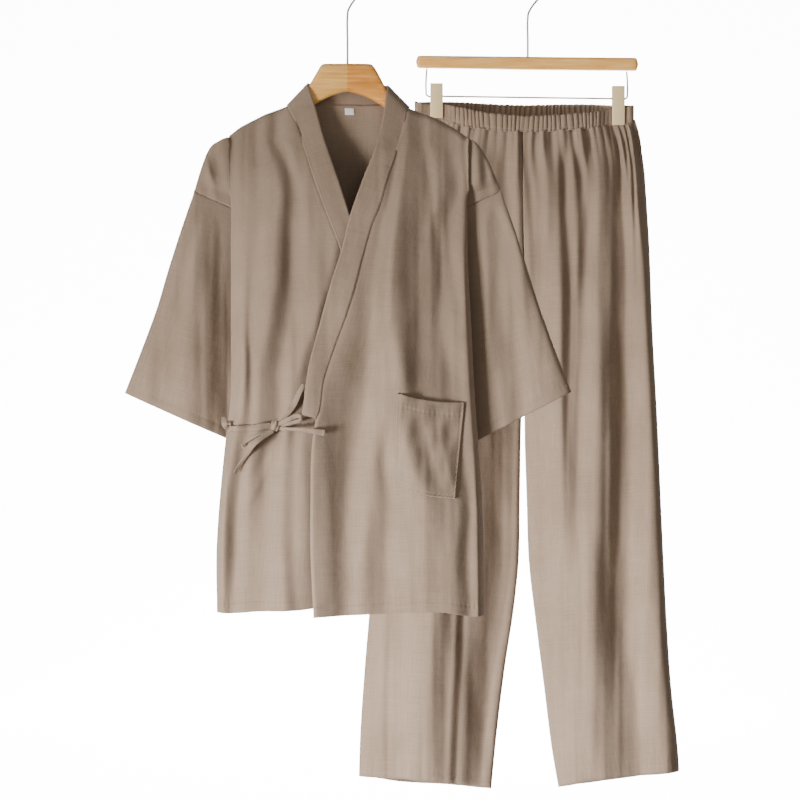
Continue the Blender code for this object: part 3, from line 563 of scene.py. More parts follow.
SLEEVE_FOLDS = {
    -1: fold_table(
        (316, -215, 0, -204, 0, -192, 0, -172, 0),
        (371, -232, 0, -220, -1, -207, 2, -176, -2),
        (482, -262, 1, -240, -2, -214, 2, -176, -3),
        (594, -296, 2, -262, -2, -222, 2, -178, -4),
        (651, -312, 2, -272, -1, -226, 1, -180, -3),
    ),
    1: fold_table(
        (316, 178, 0, 204, -1, 214, 1, 224, 0),
        (371, 174, 4, 218, -5, 238, 1, 250, 0),
        (427, 176, 5, 224, -7, 246, 1, 262, 0),
        (482, 178, 6, 233, -8, 254, 0, 274, 1),
        (538, 182, 7, 237, -9, 264, 0, 286, 2),
        (594, 184, 7, 242, -8, 272, 0, 298, 2),
        (651, 186, 6, 246, -7, 280, 1, 308, 1),
    ),
}
SLEEVE_CREASES = {
    -1: Table(
        CREASE_COLUMNS,
        (380, 620, -228, -236, -246, 8, 9, -1.5),
        (300, 620, -184, -188, -190, 6, 6, 1.5),
        (470, 760, -268, -282, -300, 10, 9, 1.5),
        (420, 760, -200, -196, -196, 6, 8, 1.5),
    ),
    1: Table(
        CREASE_COLUMNS,
        (300, 560, 190, 196, 200, 6, 6, 1.5),
        (340, 760, 222, 228, 234, 6, 7, 1.5),
        (420, 700, 246, 262, 280, 6, 7, -1.8),
        (540, 720, 214, 222, 230, 6, 7, 1.5),
    ),
}
SHOULDER_CREASES = {
    -1: Table(
        CREASE_COLUMNS,
        (232, 360, -204, -188, -168, 6, 5, 4),
        (228, 350, -188, -176, -164, 8, 8, -3),
        (250, 380, -206, -196, -184, 6, 6, -2.5),
    ),
    1: Table(
        CREASE_COLUMNS,
        (226, 360, 178, 183, 184, 8, 7, 3.5),
        (235, 360, 190, 196, 205, 7, 7, -3),
        (240, 380, 200, 208, 216, 6, 6, 2.5),
    ),
}


def shoulder_grid(side, rows=44, columns=81):
    """Open towards the body and round at its outer edge: half the depth is
    (start + 6.5 w^1.5) sqrt(1 - w^2.5), w going from the body to the outer edge."""
    sizes = SHOULDER_ROWS[side]
    k, s = np.meshgrid(np.linspace(0, 4, rows), np.linspace(-1, 1, columns), indexing="ij")
    inner_drop = sizes.at("inner_drop", k)
    edge = BODY.at("left" if side < 0 else "right", inner_drop)
    inner_x = edge - side * (BODY.at("tuck", inner_drop) - 1.3)
    w = 1 - np.abs(s) ** 1.6
    x = inner_x + (sizes.at("outer_x", k) - inner_x) * w
    drop = inner_drop + (sizes.at("outer_drop", k) - inner_drop) * w
    start = np.maximum(armhole(inner_drop + 5) - 3.8, 0.9)
    half = (start + 6.5 * w**1.5) * np.sqrt(1 - w**2.5)
    outwards = crease_height(SHOULDER_CREASES[side], x, drop) + crumple(x, drop, 15, 0.5)
    half = half + outwards * np.clip((half - 1) / 8, 0, 1)
    half = half - 1.2 * bell(4 - k, 0.06) * np.clip(half / 3, 0, 1)
    return np.stack([x, side * half * np.sign(s), drop], axis=-1)


def sleeve_grid(side, rows=120, columns=133):
    """A lens-shaped tube: half its depth is depth * sin(pi w^c)^p, w from the outer fold to
    the inner one, with p from 0.6 to 0.95 so that its inner side slopes evenly."""
    sizes = SLEEVE_ROWS[side]
    k, s = np.meshgrid(np.linspace(0, 5, rows), np.linspace(0, 1, columns), indexing="ij")
    w = (1 - np.cos(2 * np.pi * s)) / 2
    outer_x = sizes.at("outer_x", k)
    inner_x = sizes.at("inner_x", k)
    outer_drop = sizes.at("outer_drop", k)
    x = outer_x + (inner_x - outer_x) * w
    drop = outer_drop + (sizes.at("inner_drop", k) - outer_drop) * w
    crest = np.clip((SLEEVE_CREST[side].at("x", k) - outer_x) / (inner_x - outer_x), 0.17, 0.7)
    lens = np.sin(np.pi * w ** (np.log(0.5) / np.log(crest)))
    half = sizes.at("depth", k) * np.clip(lens, 0, 1) ** (0.6 + 0.35 * fade((w - crest) / 0.1)) + 0.4
    calm = np.clip((half - 0.4) / 7, 0, 1)
    seam = 3.0 * (1 - np.clip(k / 0.05, 0, 1))
    from_cuff = (5 - k) / 5 * SLEEVE_RUN
    outwards = crease_height(SLEEVE_CREASES[side], x, drop) + fold_height(SLEEVE_FOLDS[side], x, drop)
    outwards = outwards * fade(k / 0.6) + crumple(x, drop, 17, 0.7)
    outwards = (outwards + crumple(x, drop, 37, 0.2, FINE_WAVES, FINE_RUNS)) * calm
    outwards = outwards + hem_relief(from_cuff, w * 140, line=12.0)
    front = s < 0.5
    y = np.where(front, -half - outwards, 0.8 * half + 0.8 * outwards)
    y = y * (1 - seam / 5)
    y = np.where((s == 0) | (s == 1) | (s == 0.5), 0, y)
    return np.stack([x, y, drop - seam], axis=-1)


shoulder_grids = {side: shoulder_grid(side) for side in (-1, 1)}
sleeve_grids = {side: sleeve_grid(side) for side in (-1, 1)}

# %% [markdown]
# ## Ties
# Narrow folded tapes lie on the lower front. Each has a middle line, a width, and a lift off
# the cloth, with a row of sizes for each place that shows in the photo.

# %% Ties
TIES = {
    "tie_side": Table(
        "step x drop width lift",
        (0, -172, 617, 7, 18), (1, -170, 627, 8, 27), (2, -163, 633, 8, 9), (3, -150, 633, 8, 4),
        (4, -131, 632, 8, 4), (5, -117, 630, 9, 5), (6, -105.5, 629, 8, 6),
    ),
    "tie_front": Table(
        "step x drop width lift",
        (0, -60, 572, 5, 1), (1, -66, 584, 7, 3), (2, -72, 597, 8, 4), (3, -80, 609, 8, 5),
        (4, -96, 625, 6, 6.5),
    ),
    "bow_loop_right": Table(
        "step x drop width lift",
        (0, -95, 627.5, 5, 8), (1, -80, 620, 6, 9), (2, -70, 616, 6, 9), (3, -64, 616, 5, 7),
        (4, -64, 621, 5, 5), (5, -72, 624, 5, 4.5), (6, -94, 630, 4, 4.5),
    ),
    "bow_end_right": Table(
        "step x drop width lift",
        (0, -95.5, 633, 4, 6), (1, -70, 634, 4, 9), (2, -50, 636, 6, 15), (3, -30, 639, 9, 21),
    ),
    "bow_loop_left": Table(
        "step x drop width lift",
        (0, -104, 635, 4.5, 3.8), (1, -124, 641.6, 5, 3.8), (2, -137, 649, 5, 4), (3, -145, 656, 4, 5),
        (4, -139, 660, 4, 7.5), (5, -130, 654, 5, 8), (6, -104, 637, 4, 8),
    ),
    "bow_end_down": Table(
        "step x drop width lift",
        (0, -102, 636, 6, 9.5), (1, -118, 646, 7, 12), (2, -129, 655, 7, 12), (3, -137, 667, 5, 8),
        (4, -147, 681, 5, 6), (5, -156, 695, 3, 5),
    ),
}  # fmt: skip
KNOT = {"x": -100.0, "drop": 630.0, "lift": 6.4, "half": (7.4, 4.8, 8.0)}
TIE_TILT = 1.6  # a tape's upper edge stands this much further out than its lower one


def tie_grid(sizes, per_step=14, across=9):
    """A tape: crowned across, and tilted by a little that changes along it."""
    steps = np.linspace(0, len(sizes.rows) - 1, per_step * (len(sizes.rows) - 1) + 1)
    x = sizes.at("x", steps)
    drop = sizes.at("drop", steps)
    along_x = np.gradient(x)
    along_drop = np.gradient(drop)
    length = np.hypot(along_x, along_drop)
    half = sizes.at("width", steps)[:, None] / 2
    q = np.linspace(-1, 1, across)[None, :]
    px = x[:, None] - q * half * (along_drop / length)[:, None]
    pd = drop[:, None] + q * half * (along_x / length)[:, None]
    ground = under_front(x, drop) - sizes.at("lift", steps)
    tilt = TIE_TILT * np.sin(1.1 * steps)[:, None] * q
    crown = 0.7 * (1 - q**2)
    crinkle = 0.25 * np.sin(3.1 * steps)[:, None] * np.cos(2.5 * q)
    return np.stack([px, ground[:, None] - crown + tilt + crinkle, pd], axis=-1)


def knot_grid(rows=41, columns=64):
    """A lump wrapped once aslant: an ellipsoid with a groove each side of a raised turn."""
    lat, lon = np.meshgrid(np.linspace(0, np.pi, rows), np.linspace(0, 2 * np.pi, columns), indexing="ij")
    px = np.sin(lat) * np.cos(lon)
    py = np.sin(lat) * np.sin(lon)
    pz = np.cos(lat)
    band = px * math.cos(0.5) - pz * math.sin(0.5)
    wrap = 1 + 0.14 * bell(band, 0.32) - 0.13 * bell(np.abs(band) - 0.5, 0.12)
    wrap = wrap + 0.03 * np.sin(6 * lon + 3 * lat)
    rx, ry, rz = KNOT["half"]
    centre_y = float(under_front(np.array(KNOT["x"]), np.array(KNOT["drop"]))) - KNOT["lift"]
    return np.stack(
        [KNOT["x"] + rx * px * wrap, centre_y + ry * py * wrap, KNOT["drop"] - rz * pz * wrap],
        axis=-1,
    )


tie_grids = {name: tie_grid(sizes) for name, sizes in TIES.items()}

# %% [markdown]
# ## Trousers
# The elastic casing is a ring of gathers. Below it the same gathers fade out down each leg,
# the fine ones first. u goes round a leg: from the front centre seam to the outer side and
# back to the seat's seam, and below the crotch from inseam to inseam.

# %% Trouser tables
BAND = Table(
    "x front_top front_low back_top back_low depth_front depth_back",
    (94, 166, 189, 164, 188, 0, 0),
    (99, 167, 190, 165, 189, 4.5, 4.5),
    (114, 169, 191, 165, 190, 3.2, 3.2),
    (138, 169, 192, 165, 190, 3.2, 3.2),
    (153, 173, 198, 165, 191, 10, 8),
    (193, 182, 206, 167, 193, 20, 14),
    (253, 188, 210, 169, 195, 23, 16),
    (313, 185, 207, 168, 194, 20, 14),
    (360, 180, 202, 169, 194, 10, 8),
    (375, 176, 199, 170, 194, 3.2, 3.2),
    (399, 173, 195, 170, 193, 3.2, 3.2),
    (406, 172, 194, 170, 193, 4.5, 4.5),
    (410, 171, 192, 170, 192, 0, 0),
)
CROTCH = 493.0
CENTRE = Table("drop x", (190, 249.5), (344, 249.5), (493, 253), (624, 250), (1160, 250))
LEGS = {
    "left": Table(
        "drop inner outer front back",
        (190, 264, 94, 23, 16), (240, 264, 81, 30, 25), (344, 263, 68, 40, 34),
        (493, 256, 58, 44, 38), (624, 249, 48, 44, 38), (737, 247, 40, 42, 36),
        (830, 245, 33, 40, 35), (888, 239, 30, 38, 34), (974, 226, 23, 35, 32),
        (1080, 213, 16, 33, 30), (1152, 206, 14, 32, 30),
    ),
    "right": Table(
        "drop inner outer front back",
        (190, 264, 410, 23, 16), (206, 264, 415, 25, 20), (240, 264, 421, 30, 25),
        (344, 263, 430, 40, 34), (493, 256, 436, 44, 38), (624, 251, 443, 44, 38),
        (737, 254, 448, 42, 36), (823, 257, 452, 40, 35), (920, 268, 457, 38, 34),
        (1006, 279, 463, 35, 32), (1100, 291, 473, 33, 30), (1152, 300, 476, 32, 30),
    ),
}  # fmt: skip
LEG_HEMS = {
    "left": Table(
        "share front back",
        (0, 1150, 1152), (0.3, 1142, 1149), (0.6, 1135, 1147), (1, 1134, 1134),
    ),
    "right": Table(
        "share front back",
        (0, 1149, 1150), (0.25, 1138, 1147), (0.6, 1132, 1138), (1, 1125, 1126),
    ),
}  # fmt: skip
LEG_FOLDS = {
    "left": fold_table(
        (206, 110, 0, 150, 0, 185, 0, 200, 0, 230, 0, 250, 0),
        (235, 110, 0, 140, 1, 168, -1, 196, 4, 226, -3, 247, 0),
        (278, 100, 0, 135, 2, 165, -2, 196, 4, 228, -4, 248, 0),
        (400, 90, -1, 130, 4, 165, -3, 195, 5, 232, -5, 250, -1),
        (600, 80, -3, 126, 7, 160, 2, 182, 4, 226, -8, 248, -4),
        (760, 70, -5, 122, 9, 156, 5, 170, 3, 222, -9, 244, -5),
        (917, 58, -6, 119, 11, 150, 5, 165, 0, 208, -9, 232, -5),
        (1024, 50, -6, 117, 12, 145, 6, 160, 1, 197, -8, 216, -5),
        (1150, 40, -4, 112, 8, 140, 4, 155, 0, 186, -6, 204, -4),
    ),
    "right": fold_table(
        (206, 262, 0, 298, 0, 310, 0, 321, 0, 333, 0, 355, 0, 388, 0, 408, 0),
        (235, 267, -2, 298, 2, 310, -3, 321, 1, 331, -2, 355, 2, 384, -2, 404, 2),
        (278, 270, -2, 298, 4, 310, -2, 320, 1, 334, -3, 355, 3.5, 387, -4, 410, 3),
        (335, 273, -1, 299, 6, 311, 0, 320, 1, 339, -3, 356, 3, 391, -7, 416, 4),
        (393, 275, 0, 299, 8, 316, 1, 322, 0.5, 338, -3, 356, 3, 394, -9, 422, 5),
        (450, 272, 0, 300, 10, 318, 0, 324, -1, 336, -3, 356, 3, 394, -10, 426, 7),
        (522, 270, 0, 300, 11, 318, 2, 324, 1, 334, 0, 354, 5, 394, -11, 430, 8),
        (594, 270, 0, 302, 9, 316, 3, 320, 2.5, 329, 1, 354, 6.5, 396, -11, 434, 9),
        (680, 272, 0, 303, 8, 314, 4.5, 318, 3.5, 327, 2, 351, 7, 395, -10, 438, 9),
        (766, 275, -1, 305, 7, 314, 5.5, 318, 5, 324, 4.5, 347, 9, 394, -10, 442, 9),
        (852, 279, -1, 305, 5, 314, 6.5, 320, 7.5, 328, 9, 343, 11, 395, -10, 445, 9),
        (938, 286, 0, 306, 5, 314, 7, 320, 9, 328, 11, 343, 12, 398, -9, 449, 8),
        (1024, 292, 0, 308, 5, 316, 7, 322, 8.5, 330, 10, 344, 10, 410, -7, 454, 7),
        (1150, 300, 0, 312, 3, 318, 5, 326, 6.5, 334, 8, 347, 7, 416, -4, 460, 5),
    ),
}
LEG_CREASES = {
    "left": Table(
        CREASE_COLUMNS,
        (215, 560, 244, 240, 236, 8, 7, 2.5),
        (260, 640, 206, 200, 190, 8, 9, 2.5),
        (480, 1100, 196, 176, 160, 10, 12, -2),
        (700, 1300, 60, 52, 44, 12, 12, 2),
        (800, 1300, 96, 92, 88, 8, 8, 1.6),
    ),
    "right": Table(
        CREASE_COLUMNS,
        (210, 480, 322, 326, 324, 6, 6, 3),
        (205, 420, 281, 283, 284, 6, 6, 2.5),
        (215, 900, 372, 374, 370, 6, 7, 2),
        (620, 1300, 322, 330, 336, 8, 9, -1.6),
        (700, 1300, 416, 424, 436, 8, 9, 1.6),
        (215, 520, 398, 404, 408, 6, 6, 2.5),
    ),
}
BACK_GATHER_SHIFT = 0.37


# %% Trouser surfaces
def gather_phase(s, count):
    """The gathers' places round the band: even steps, each moved a little to either side."""
    drift = 0.34 * np.sin(2 * np.pi * 7 * s + 1.1) + 0.26 * np.sin(2 * np.pi * 13 * s + 0.4)
    return count * s + drift


def bumps(phase):
    """Rounded tops with narrow valleys between them: 2 |sin(pi phase)|^0.7 - 1.1"""
    return 2 * np.abs(np.sin(np.pi * phase)) ** 0.7 - 1.1


def band_grid(columns=1100, rows=17):
    """The elastic casing: a ring whose gathers lean a little and flatten at the clips."""
    s, level = np.meshgrid(np.linspace(0, 1, columns), np.linspace(0, 1, rows))
    w = (1 - np.cos(2 * np.pi * s)) / 2
    share = 0.25 * w + 0.75 * (1 - np.abs(1 - 2 * s))
    x = 94.9 + (409.1 - 94.9) * share
    front = s < 0.5
    depth = np.where(front, BAND.at("depth_front", x), BAND.at("depth_back", x))
    free = np.clip((depth - 2.2) / 9, 0.2, 1)
    joined = 1 - 0.8 * bell(x - 250, 5) * front
    lean = 0.25 * np.sin(2 * np.pi * 5 * s) * (level - 0.5)
    wave = bumps(gather_phase(s, 104) + lean) * 1.25
    wave = wave + 0.5 * np.cos(2 * np.pi * gather_phase(s, 41) + 1.3 * level)
    ends = 1 - 0.35 * bell(level - 0.86, 0.07) - 0.2 * bell(level, 0.12)
    belly = 1.6 * np.sin(np.pi * level) ** 0.6 - 1.3 * bell(level - 0.86, 0.05)
    out = depth + (wave * ends * joined + belly) * free - 0.6
    out = np.maximum(out, 0.0)
    y = TROUSER_PLANE + np.where(front, -out, out)
    top = np.where(front, BAND.at("front_top", x), BAND.at("back_top", x)) - 0.5 * wave * free
    low = np.where(front, BAND.at("front_low", x), BAND.at("back_low", x)) + 0.8
    return np.stack([x, y, top + (low - top) * level], axis=-1)


def leg_depth(name, side, w, x, drop):
    """Half the depth: from the band's at the waist to the leg's own, sizes * sqrt(1 - w^8),
    times sqrt(1 - (1 - w)^3) below the crotch, where the inner side closes too."""
    sizes = LEGS[name]
    opened = 1 - fade((drop - CROTCH + 100) / 100)
    inner = np.sqrt(1 - (1 - w) ** 3)
    own = sizes.at(side, drop) * np.sqrt(1 - w**8) * (opened + (1 - opened) * inner)
    band = BAND.at(f"depth_{side}", x)
    return band + (own - band) * fade((drop - 195) / 110)


def gathers(name, u, drop):
    """Three bands of gathers, fading with the distance below the casing."""
    below = np.maximum(drop - 195, 0)
    shift = 0.0 if name == "left" else BACK_GATHER_SHIFT
    turn = 0.9 * np.sin(below / 26 + 9 * u)
    fine = bumps(gather_phase(u * 0.5 + shift, 104) + 0.16 * turn)
    medium = np.cos(2 * np.pi * (gather_phase(u * 0.5 + shift, 37)) + turn)
    broad = np.cos(2 * np.pi * gather_phase(u * 0.5 + shift, 17) + 1.2)
    return (
        1.9 * fine * np.exp(-((below / 42) ** 1.3))
        + 3.2 * medium * np.exp(-((below / 105) ** 2)) * fade(below / 14 + 0.3)
        + 2.4 * broad * np.exp(-((below / 170) ** 2)) * fade(below / 40)
    )


def leg_grid(name, columns=247, rows=176):
    """One leg with its half of the hips, from under the casing's edge to the hem."""
    sizes = LEGS[name]
    way = 1 if name == "right" else -1
    v, u = np.meshgrid(np.linspace(0, 1, rows) ** 1.35, np.linspace(0, 1, columns), indexing="ij")
    front = u < 0.5
    w = np.sin(np.pi * u)
    hem = np.where(front, LEG_HEMS[name].at("front", w), LEG_HEMS[name].at("back", w))
    drop = 195 + (hem - 195) * v
    for _ in range(5):
        parted = fade((drop - CROTCH + 30) / 60)
        inner = CENTRE.at("x", drop) * (1 - parted) + sizes.at("inner", drop) * parted
        inner += way * (0.1 + 1.2 * fade((drop - CROTCH + 110) / 90))
        outer = sizes.at("outer", drop)
        x = inner + (outer - inner) * w
        top = np.where(front, BAND.at("front_low", x), BAND.at("back_low", x)) - 1.0
        drop = top + (hem - top) * v
    depth = np.where(
        front, leg_depth(name, "front", w, x, drop), leg_depth(name, "back", w, x, drop)
    )
    flank = np.clip(depth / 16, 0, 1)
    back_way = np.where(front, 1.0, 0.8)
    outwards = crease_height(LEG_CREASES[name], x, drop) + FULLNESS * fold_height(LEG_FOLDS[name], x, drop)
    outwards = outwards * back_way + crumple(x, drop, 21, 1.0, waves=(16, 80), runs=(120, 600))
    outwards = outwards + crumple(x, drop, 39, 0.3, FINE_WAVES, FINE_RUNS)
    outwards = outwards * flank * fade((drop - 205) / 60)
    outwards = outwards + gathers(name, u, drop) * np.clip(depth / 6, 0.15, 1)
    outwards = outwards + hem_relief(hem - drop, x, line=13.0)
    centre = 1 - fade((drop - CROTCH) / 20)
    outwards = outwards - centre * (1.5 * bell(w, 0.02) + 0.5 * bell(w - 0.075, 0.02))
    depth = np.maximum(depth + outwards, 0.1)
    y = TROUSER_PLANE + np.where(front, -depth, depth)
    return np.stack([x, y, drop], axis=-1)


band_points = band_grid()
leg_grids = {name: leg_grid(name) for name in ("left", "right")}
print("legs reach", round(float(leg_grids["left"][..., 2].max())), "mm down")

# %% [markdown]
# ## Meshes
# Every grid becomes a mesh of quads. Each point keeps its place in the weave, the metres
# along the thread both ways, so that the weave follows the cloth round its folds.


# %% Grids to meshes
def grid_quads(rows, columns):
    """Corner numbers of each quad: (r, c), (r+1, c), (r+1, c+1), (r, c+1)."""
    index = np.arange(rows * columns).reshape(rows, columns)
    corners = (index[:-1, :-1], index[1:, :-1], index[1:, 1:], index[:-1, 1:])
    return np.stack(corners, axis=-1).reshape(-1, 4)


def mesh_of(name, points, quads, thread=None):
    """A smooth mesh object from (n, 3) millimetres (x, y, drop) and (m, 4) corners."""
    places = np.asarray(points, float).reshape(-1, 3) * (MM, MM, -MM)
    mesh = bpy.data.meshes.new(name)
    mesh.vertices.add(len(places))
    mesh.vertices.foreach_set("co", places.ravel())
    mesh.loops.add(quads.size)
    mesh.loops.foreach_set("vertex_index", quads.ravel().astype(np.int32))
    mesh.polygons.add(len(quads))
    width = quads.shape[1]
    mesh.polygons.foreach_set("loop_start", np.arange(0, quads.size, width, dtype=np.int32))
    mesh.update(calc_edges=True)
    mesh.shade_smooth()
    if thread is not None:
        weave = mesh.attributes.new("thread", "FLOAT2", "POINT")
        weave.data.foreach_set("vector", np.asarray(thread, float).ravel())
    obj = bpy.data.objects.new(name, mesh)
    bpy.context.scene.collection.objects.link(obj)
    return obj


def thread_of(grid):
    """Metres along the middle row and down the middle column, spread over the grid."""
    across = np.linalg.norm(np.diff(grid, axis=1), axis=2).mean(axis=0)
    down = np.linalg.norm(np.diff(grid, axis=0), axis=2).mean(axis=1)
    u = np.concatenate([[0], np.cumsum(across)]) * MM
    v = np.concatenate([[0], np.cumsum(down)]) * MM
    return np.stack(np.meshgrid(u, v), axis=-1)


def cloth(name, grid, outward, wall=CLOTH):
    """A wall of cloth over a grid. outward is +1 where the quads already face outwards.
    A single layer lies inside its grid, and a thicker wall half on each side of it."""
    rows, columns = grid.shape[:2]
    quads = grid_quads(rows, columns)
    if outward < 0:
        quads = quads[:, ::-1]
    obj = mesh_of(name, grid, quads, thread_of(grid))
    thick = obj.modifiers.new("Wall", "SOLIDIFY")
    thick.thickness = wall * MM
    thick.offset = -1.0 if wall <= CLOTH else 0.0
    return obj


# %% Cloth pieces
cloth_grids = {
    "front_under": (under_grid, 1),
    "front_over": (over_grid, 1),
    "jacket_back": (back_grid, -1),
    "collar": (collar_points, -1),
    "pocket": (pocket_points, 1),
    "neck_label": (label_grid(), 1),
    "shoulder_left": (shoulder_grids[-1], 1),
    "shoulder_right": (shoulder_grids[1], 1),
    "sleeve_left": (sleeve_grids[-1], 1),
    "sleeve_right": (sleeve_grids[1], -1),
    "leg_left": (leg_grids["left"], -1),
    "leg_right": (leg_grids["right"], 1),
    "waistband": (band_points, 1),
}
walls = {"collar": 1.2, "pocket": 1.1, "neck_label": 0.7, "waistband": 1.4}
TIE_WALL = 1.1
pieces = {
    name: cloth(f"{name}_cloth", grid, outward, walls.get(name, CLOTH))
    for name, (grid, outward) in cloth_grids.items()
}
for name, grid in tie_grids.items():
    pieces[name] = cloth(f"{name}_cloth", grid, -1, TIE_WALL)
knot_points = knot_grid()
knot_quads = grid_quads(*knot_points.shape[:2])
pieces["bow_knot"] = mesh_of("bow_knot_cloth", knot_points, knot_quads, thread_of(knot_points))
print(len(pieces), "pieces of cloth")

# %% [markdown]
# ## Stitches
# A stitch is a small spindle of thread. A row of them follows a line at a set distance from
# a cloth's edge, three millimetres apart.

# %% Stitches
STITCH_PITCH = 3.0
STITCH_LENGTH = 2.2
STITCH_RADIUS = 0.19
UNDER_SHOWN = 72  # columns of the lower front whose hem is stitched: those that show
SPINDLE = np.array(
    [[-0.5, 0, 0]]
    + [[-0.3, math.cos(a), math.sin(a)] for a in np.arange(4) * math.pi / 2]
    + [[0.3, math.cos(a), math.sin(a)] for a in np.arange(4) * math.pi / 2]
    + [[0.5, 0, 0]]
)
SPINDLE_FACES = np.array(
    [(0, 1 + (i + 1) % 4, 1 + i) for i in range(4)]
    + [(1 + i, 1 + (i + 1) % 4, 5 + i) for i in range(4)]
    + [(1 + (i + 1) % 4, 5 + (i + 1) % 4, 5 + i) for i in range(4)]
    + [(9, 5 + i, 5 + (i + 1) % 4) for i in range(4)]
)


def inset_line(grid, distance):
    """The line this far inside the grid's last row, measured along each column."""
    turned = grid[::-1]
    steps = np.linalg.norm(np.diff(turned, axis=0), axis=2)
    walked = np.concatenate([np.zeros((1, grid.shape[1])), np.cumsum(steps, axis=0)])
    k = np.clip(np.argmax(walked > distance, axis=0) - 1, 0, len(steps) - 1)
    column = np.arange(grid.shape[1])
    t = ((distance - walked[k, column]) / np.maximum(steps[k, column], 1e-6))[:, None]
    return turned[k, column] * (1 - t) + turned[k + 1, column] * t


def stitch_row(line, outwards, lift=0.12):
    """Centres, directions and outward vectors of the stitches along a line."""
    walked = np.concatenate([[0], np.cumsum(np.linalg.norm(np.diff(line, axis=0), axis=1))])
    places = np.arange(STITCH_PITCH, walked[-1] - STITCH_PITCH, STITCH_PITCH)
    ends = [
        np.stack([np.interp(places + way * STITCH_LENGTH / 2, walked, line[:, i]) for i in range(3)], axis=-1)
        for way in (-1, 1)
    ]
    along = ends[1] - ends[0]
    centres = (ends[0] + ends[1]) / 2 + np.array(outwards) * lift
    return centres, along, np.broadcast_to(np.array(outwards, float), centres.shape)


FRONT = (0, -1, 0)
BACK = (0, 1, 0)


def turned_sides(grid):
    """The same grid with its last column as the last row."""
    return grid.transpose(1, 0, 2)


half_sleeve = sleeve_grids[-1].shape[1] // 2 + 1
half_leg = leg_grids["left"].shape[1] // 2 + 1
half_band = band_points.shape[1] // 2 + 1
stitch_rows = {
    "jacket": [
        stitch_row(inset_line(under_grid[:, :UNDER_SHOWN], 14), FRONT),
        stitch_row(inset_line(over_grid, 14), FRONT),
        stitch_row(inset_line(back_grid, 14), BACK),
        stitch_row(inset_line(turned_sides(collar_points)[::-1], 2.4), FRONT, lift=0.95),
    ]
    + [stitch_row(inset_line(sleeve_grids[side][:, :half_sleeve], 12), FRONT) for side in (-1, 1)]
    + [stitch_row(inset_line(sleeve_grids[side][:, half_sleeve:], 12), BACK) for side in (-1, 1)],
    "pocket": [
        stitch_row(inset_line(pocket_points, 2.6), FRONT),
        stitch_row(inset_line(turned_sides(pocket_points), 2.6), FRONT),
        stitch_row(inset_line(turned_sides(pocket_points)[::-1], 2.6), FRONT),
        stitch_row(inset_line(pocket_points[::-1], 17.0), FRONT),
    ],
    "trousers": [stitch_row(inset_line(leg_grids[name][:, :half_leg], 13), FRONT) for name in leg_grids]
    + [stitch_row(inset_line(leg_grids[name][:, half_leg:], 13), BACK) for name in leg_grids]
    + [
        stitch_row(inset_line(band_points[:, :half_band], 4.2), FRONT, lift=0.3),
        stitch_row(inset_line(band_points[:, half_band:], 4.2), BACK, lift=0.3),
    ],
}


def stitches(name, rows):
    """One mesh of spindles: x along the stitch, and the other two across it."""
    centres, along, outwards = (np.concatenate(part) for part in zip(*rows))
    along = along / np.maximum(np.linalg.norm(along, axis=1, keepdims=True), 1e-9)
    side = np.cross(along, outwards)
    side = side / np.maximum(np.linalg.norm(side, axis=1, keepdims=True), 1e-9)
    up = np.cross(side, along)
    frame_axes = np.stack([along * STITCH_LENGTH, side * STITCH_RADIUS, up * STITCH_RADIUS], axis=1)
    points = centres[:, None, :] + np.einsum("pi,nij->npj", SPINDLE, frame_axes)
    faces = SPINDLE_FACES[None] + np.arange(len(centres))[:, None, None] * len(SPINDLE)
    obj = mesh_of(name, points, faces.reshape(-1, 3))
    print(name, "has", len(centres), "stitches")
    return obj


stitch_pieces = {name: stitches(f"stitches_{name}", rows) for name, rows in stitch_rows.items()}

# %% [markdown]
# ## Hangers
# The jacket hangs on a shaped wooden hanger, and the trousers on a straight bar with a rod
# and two sprung clips. Both hooks are bent wire.

# %% Wooden bars
HANGER = Table(
    "x top bottom half",
    (-150, 215.6, 226, 4), (-136, 207.7, 222, 5.5), (-110, 196.1, 211, 6), (-86, 188.4, 203, 5.6),
    (-66, 176.5, 192, 7.2), (-54, 153.5, 184.8, 8), (-45, 138, 179.4, 8), (-37.5, 124.6, 175.4, 8.5),
    (-34.5, 122.8, 173.6, 8.7), (-24, 122.6, 168.6, 9.2), (-12, 122.6, 164.4, 9.6), (0, 122.6, 161.6, 9.8),
    (12, 122.6, 164.4, 9.6), (24, 122.7, 168.6, 9.2), (33.5, 123.2, 173.0, 8.7), (36.5, 125.4, 174.6, 8.5),
    (45, 140, 179.8, 8), (56, 162, 187.2, 8), (68, 180, 193.6, 7.2), (86, 188.8, 204, 6),
    (110, 197.8, 213, 6), (138, 210.5, 225, 5.5), (152, 218.8, 230, 4),
)  # fmt: skip
BAR = Table(
    "x top bottom half",
    (96, 102, 114, 6), (100, 99, 117, 8.5), (106, 99, 117.2, 8.8), (180, 99.7, 118.2, 9),
    (250, 100.5, 119.5, 9), (330, 101.3, 120.3, 9), (406, 102, 121, 8.8), (412, 102, 121, 8.5),
    (416, 105, 118, 6),
)  # fmt: skip


def sealed(obj):
    """Joins points that lie on each other, so that a rolled-up grid is one closed form."""
    work = bmesh.new()
    work.from_mesh(obj.data)
    bmesh.ops.remove_doubles(work, verts=work.verts, dist=1e-6)
    bmesh.ops.recalc_face_normals(work, faces=work.faces)
    work.to_mesh(obj.data)
    work.free()
    return obj


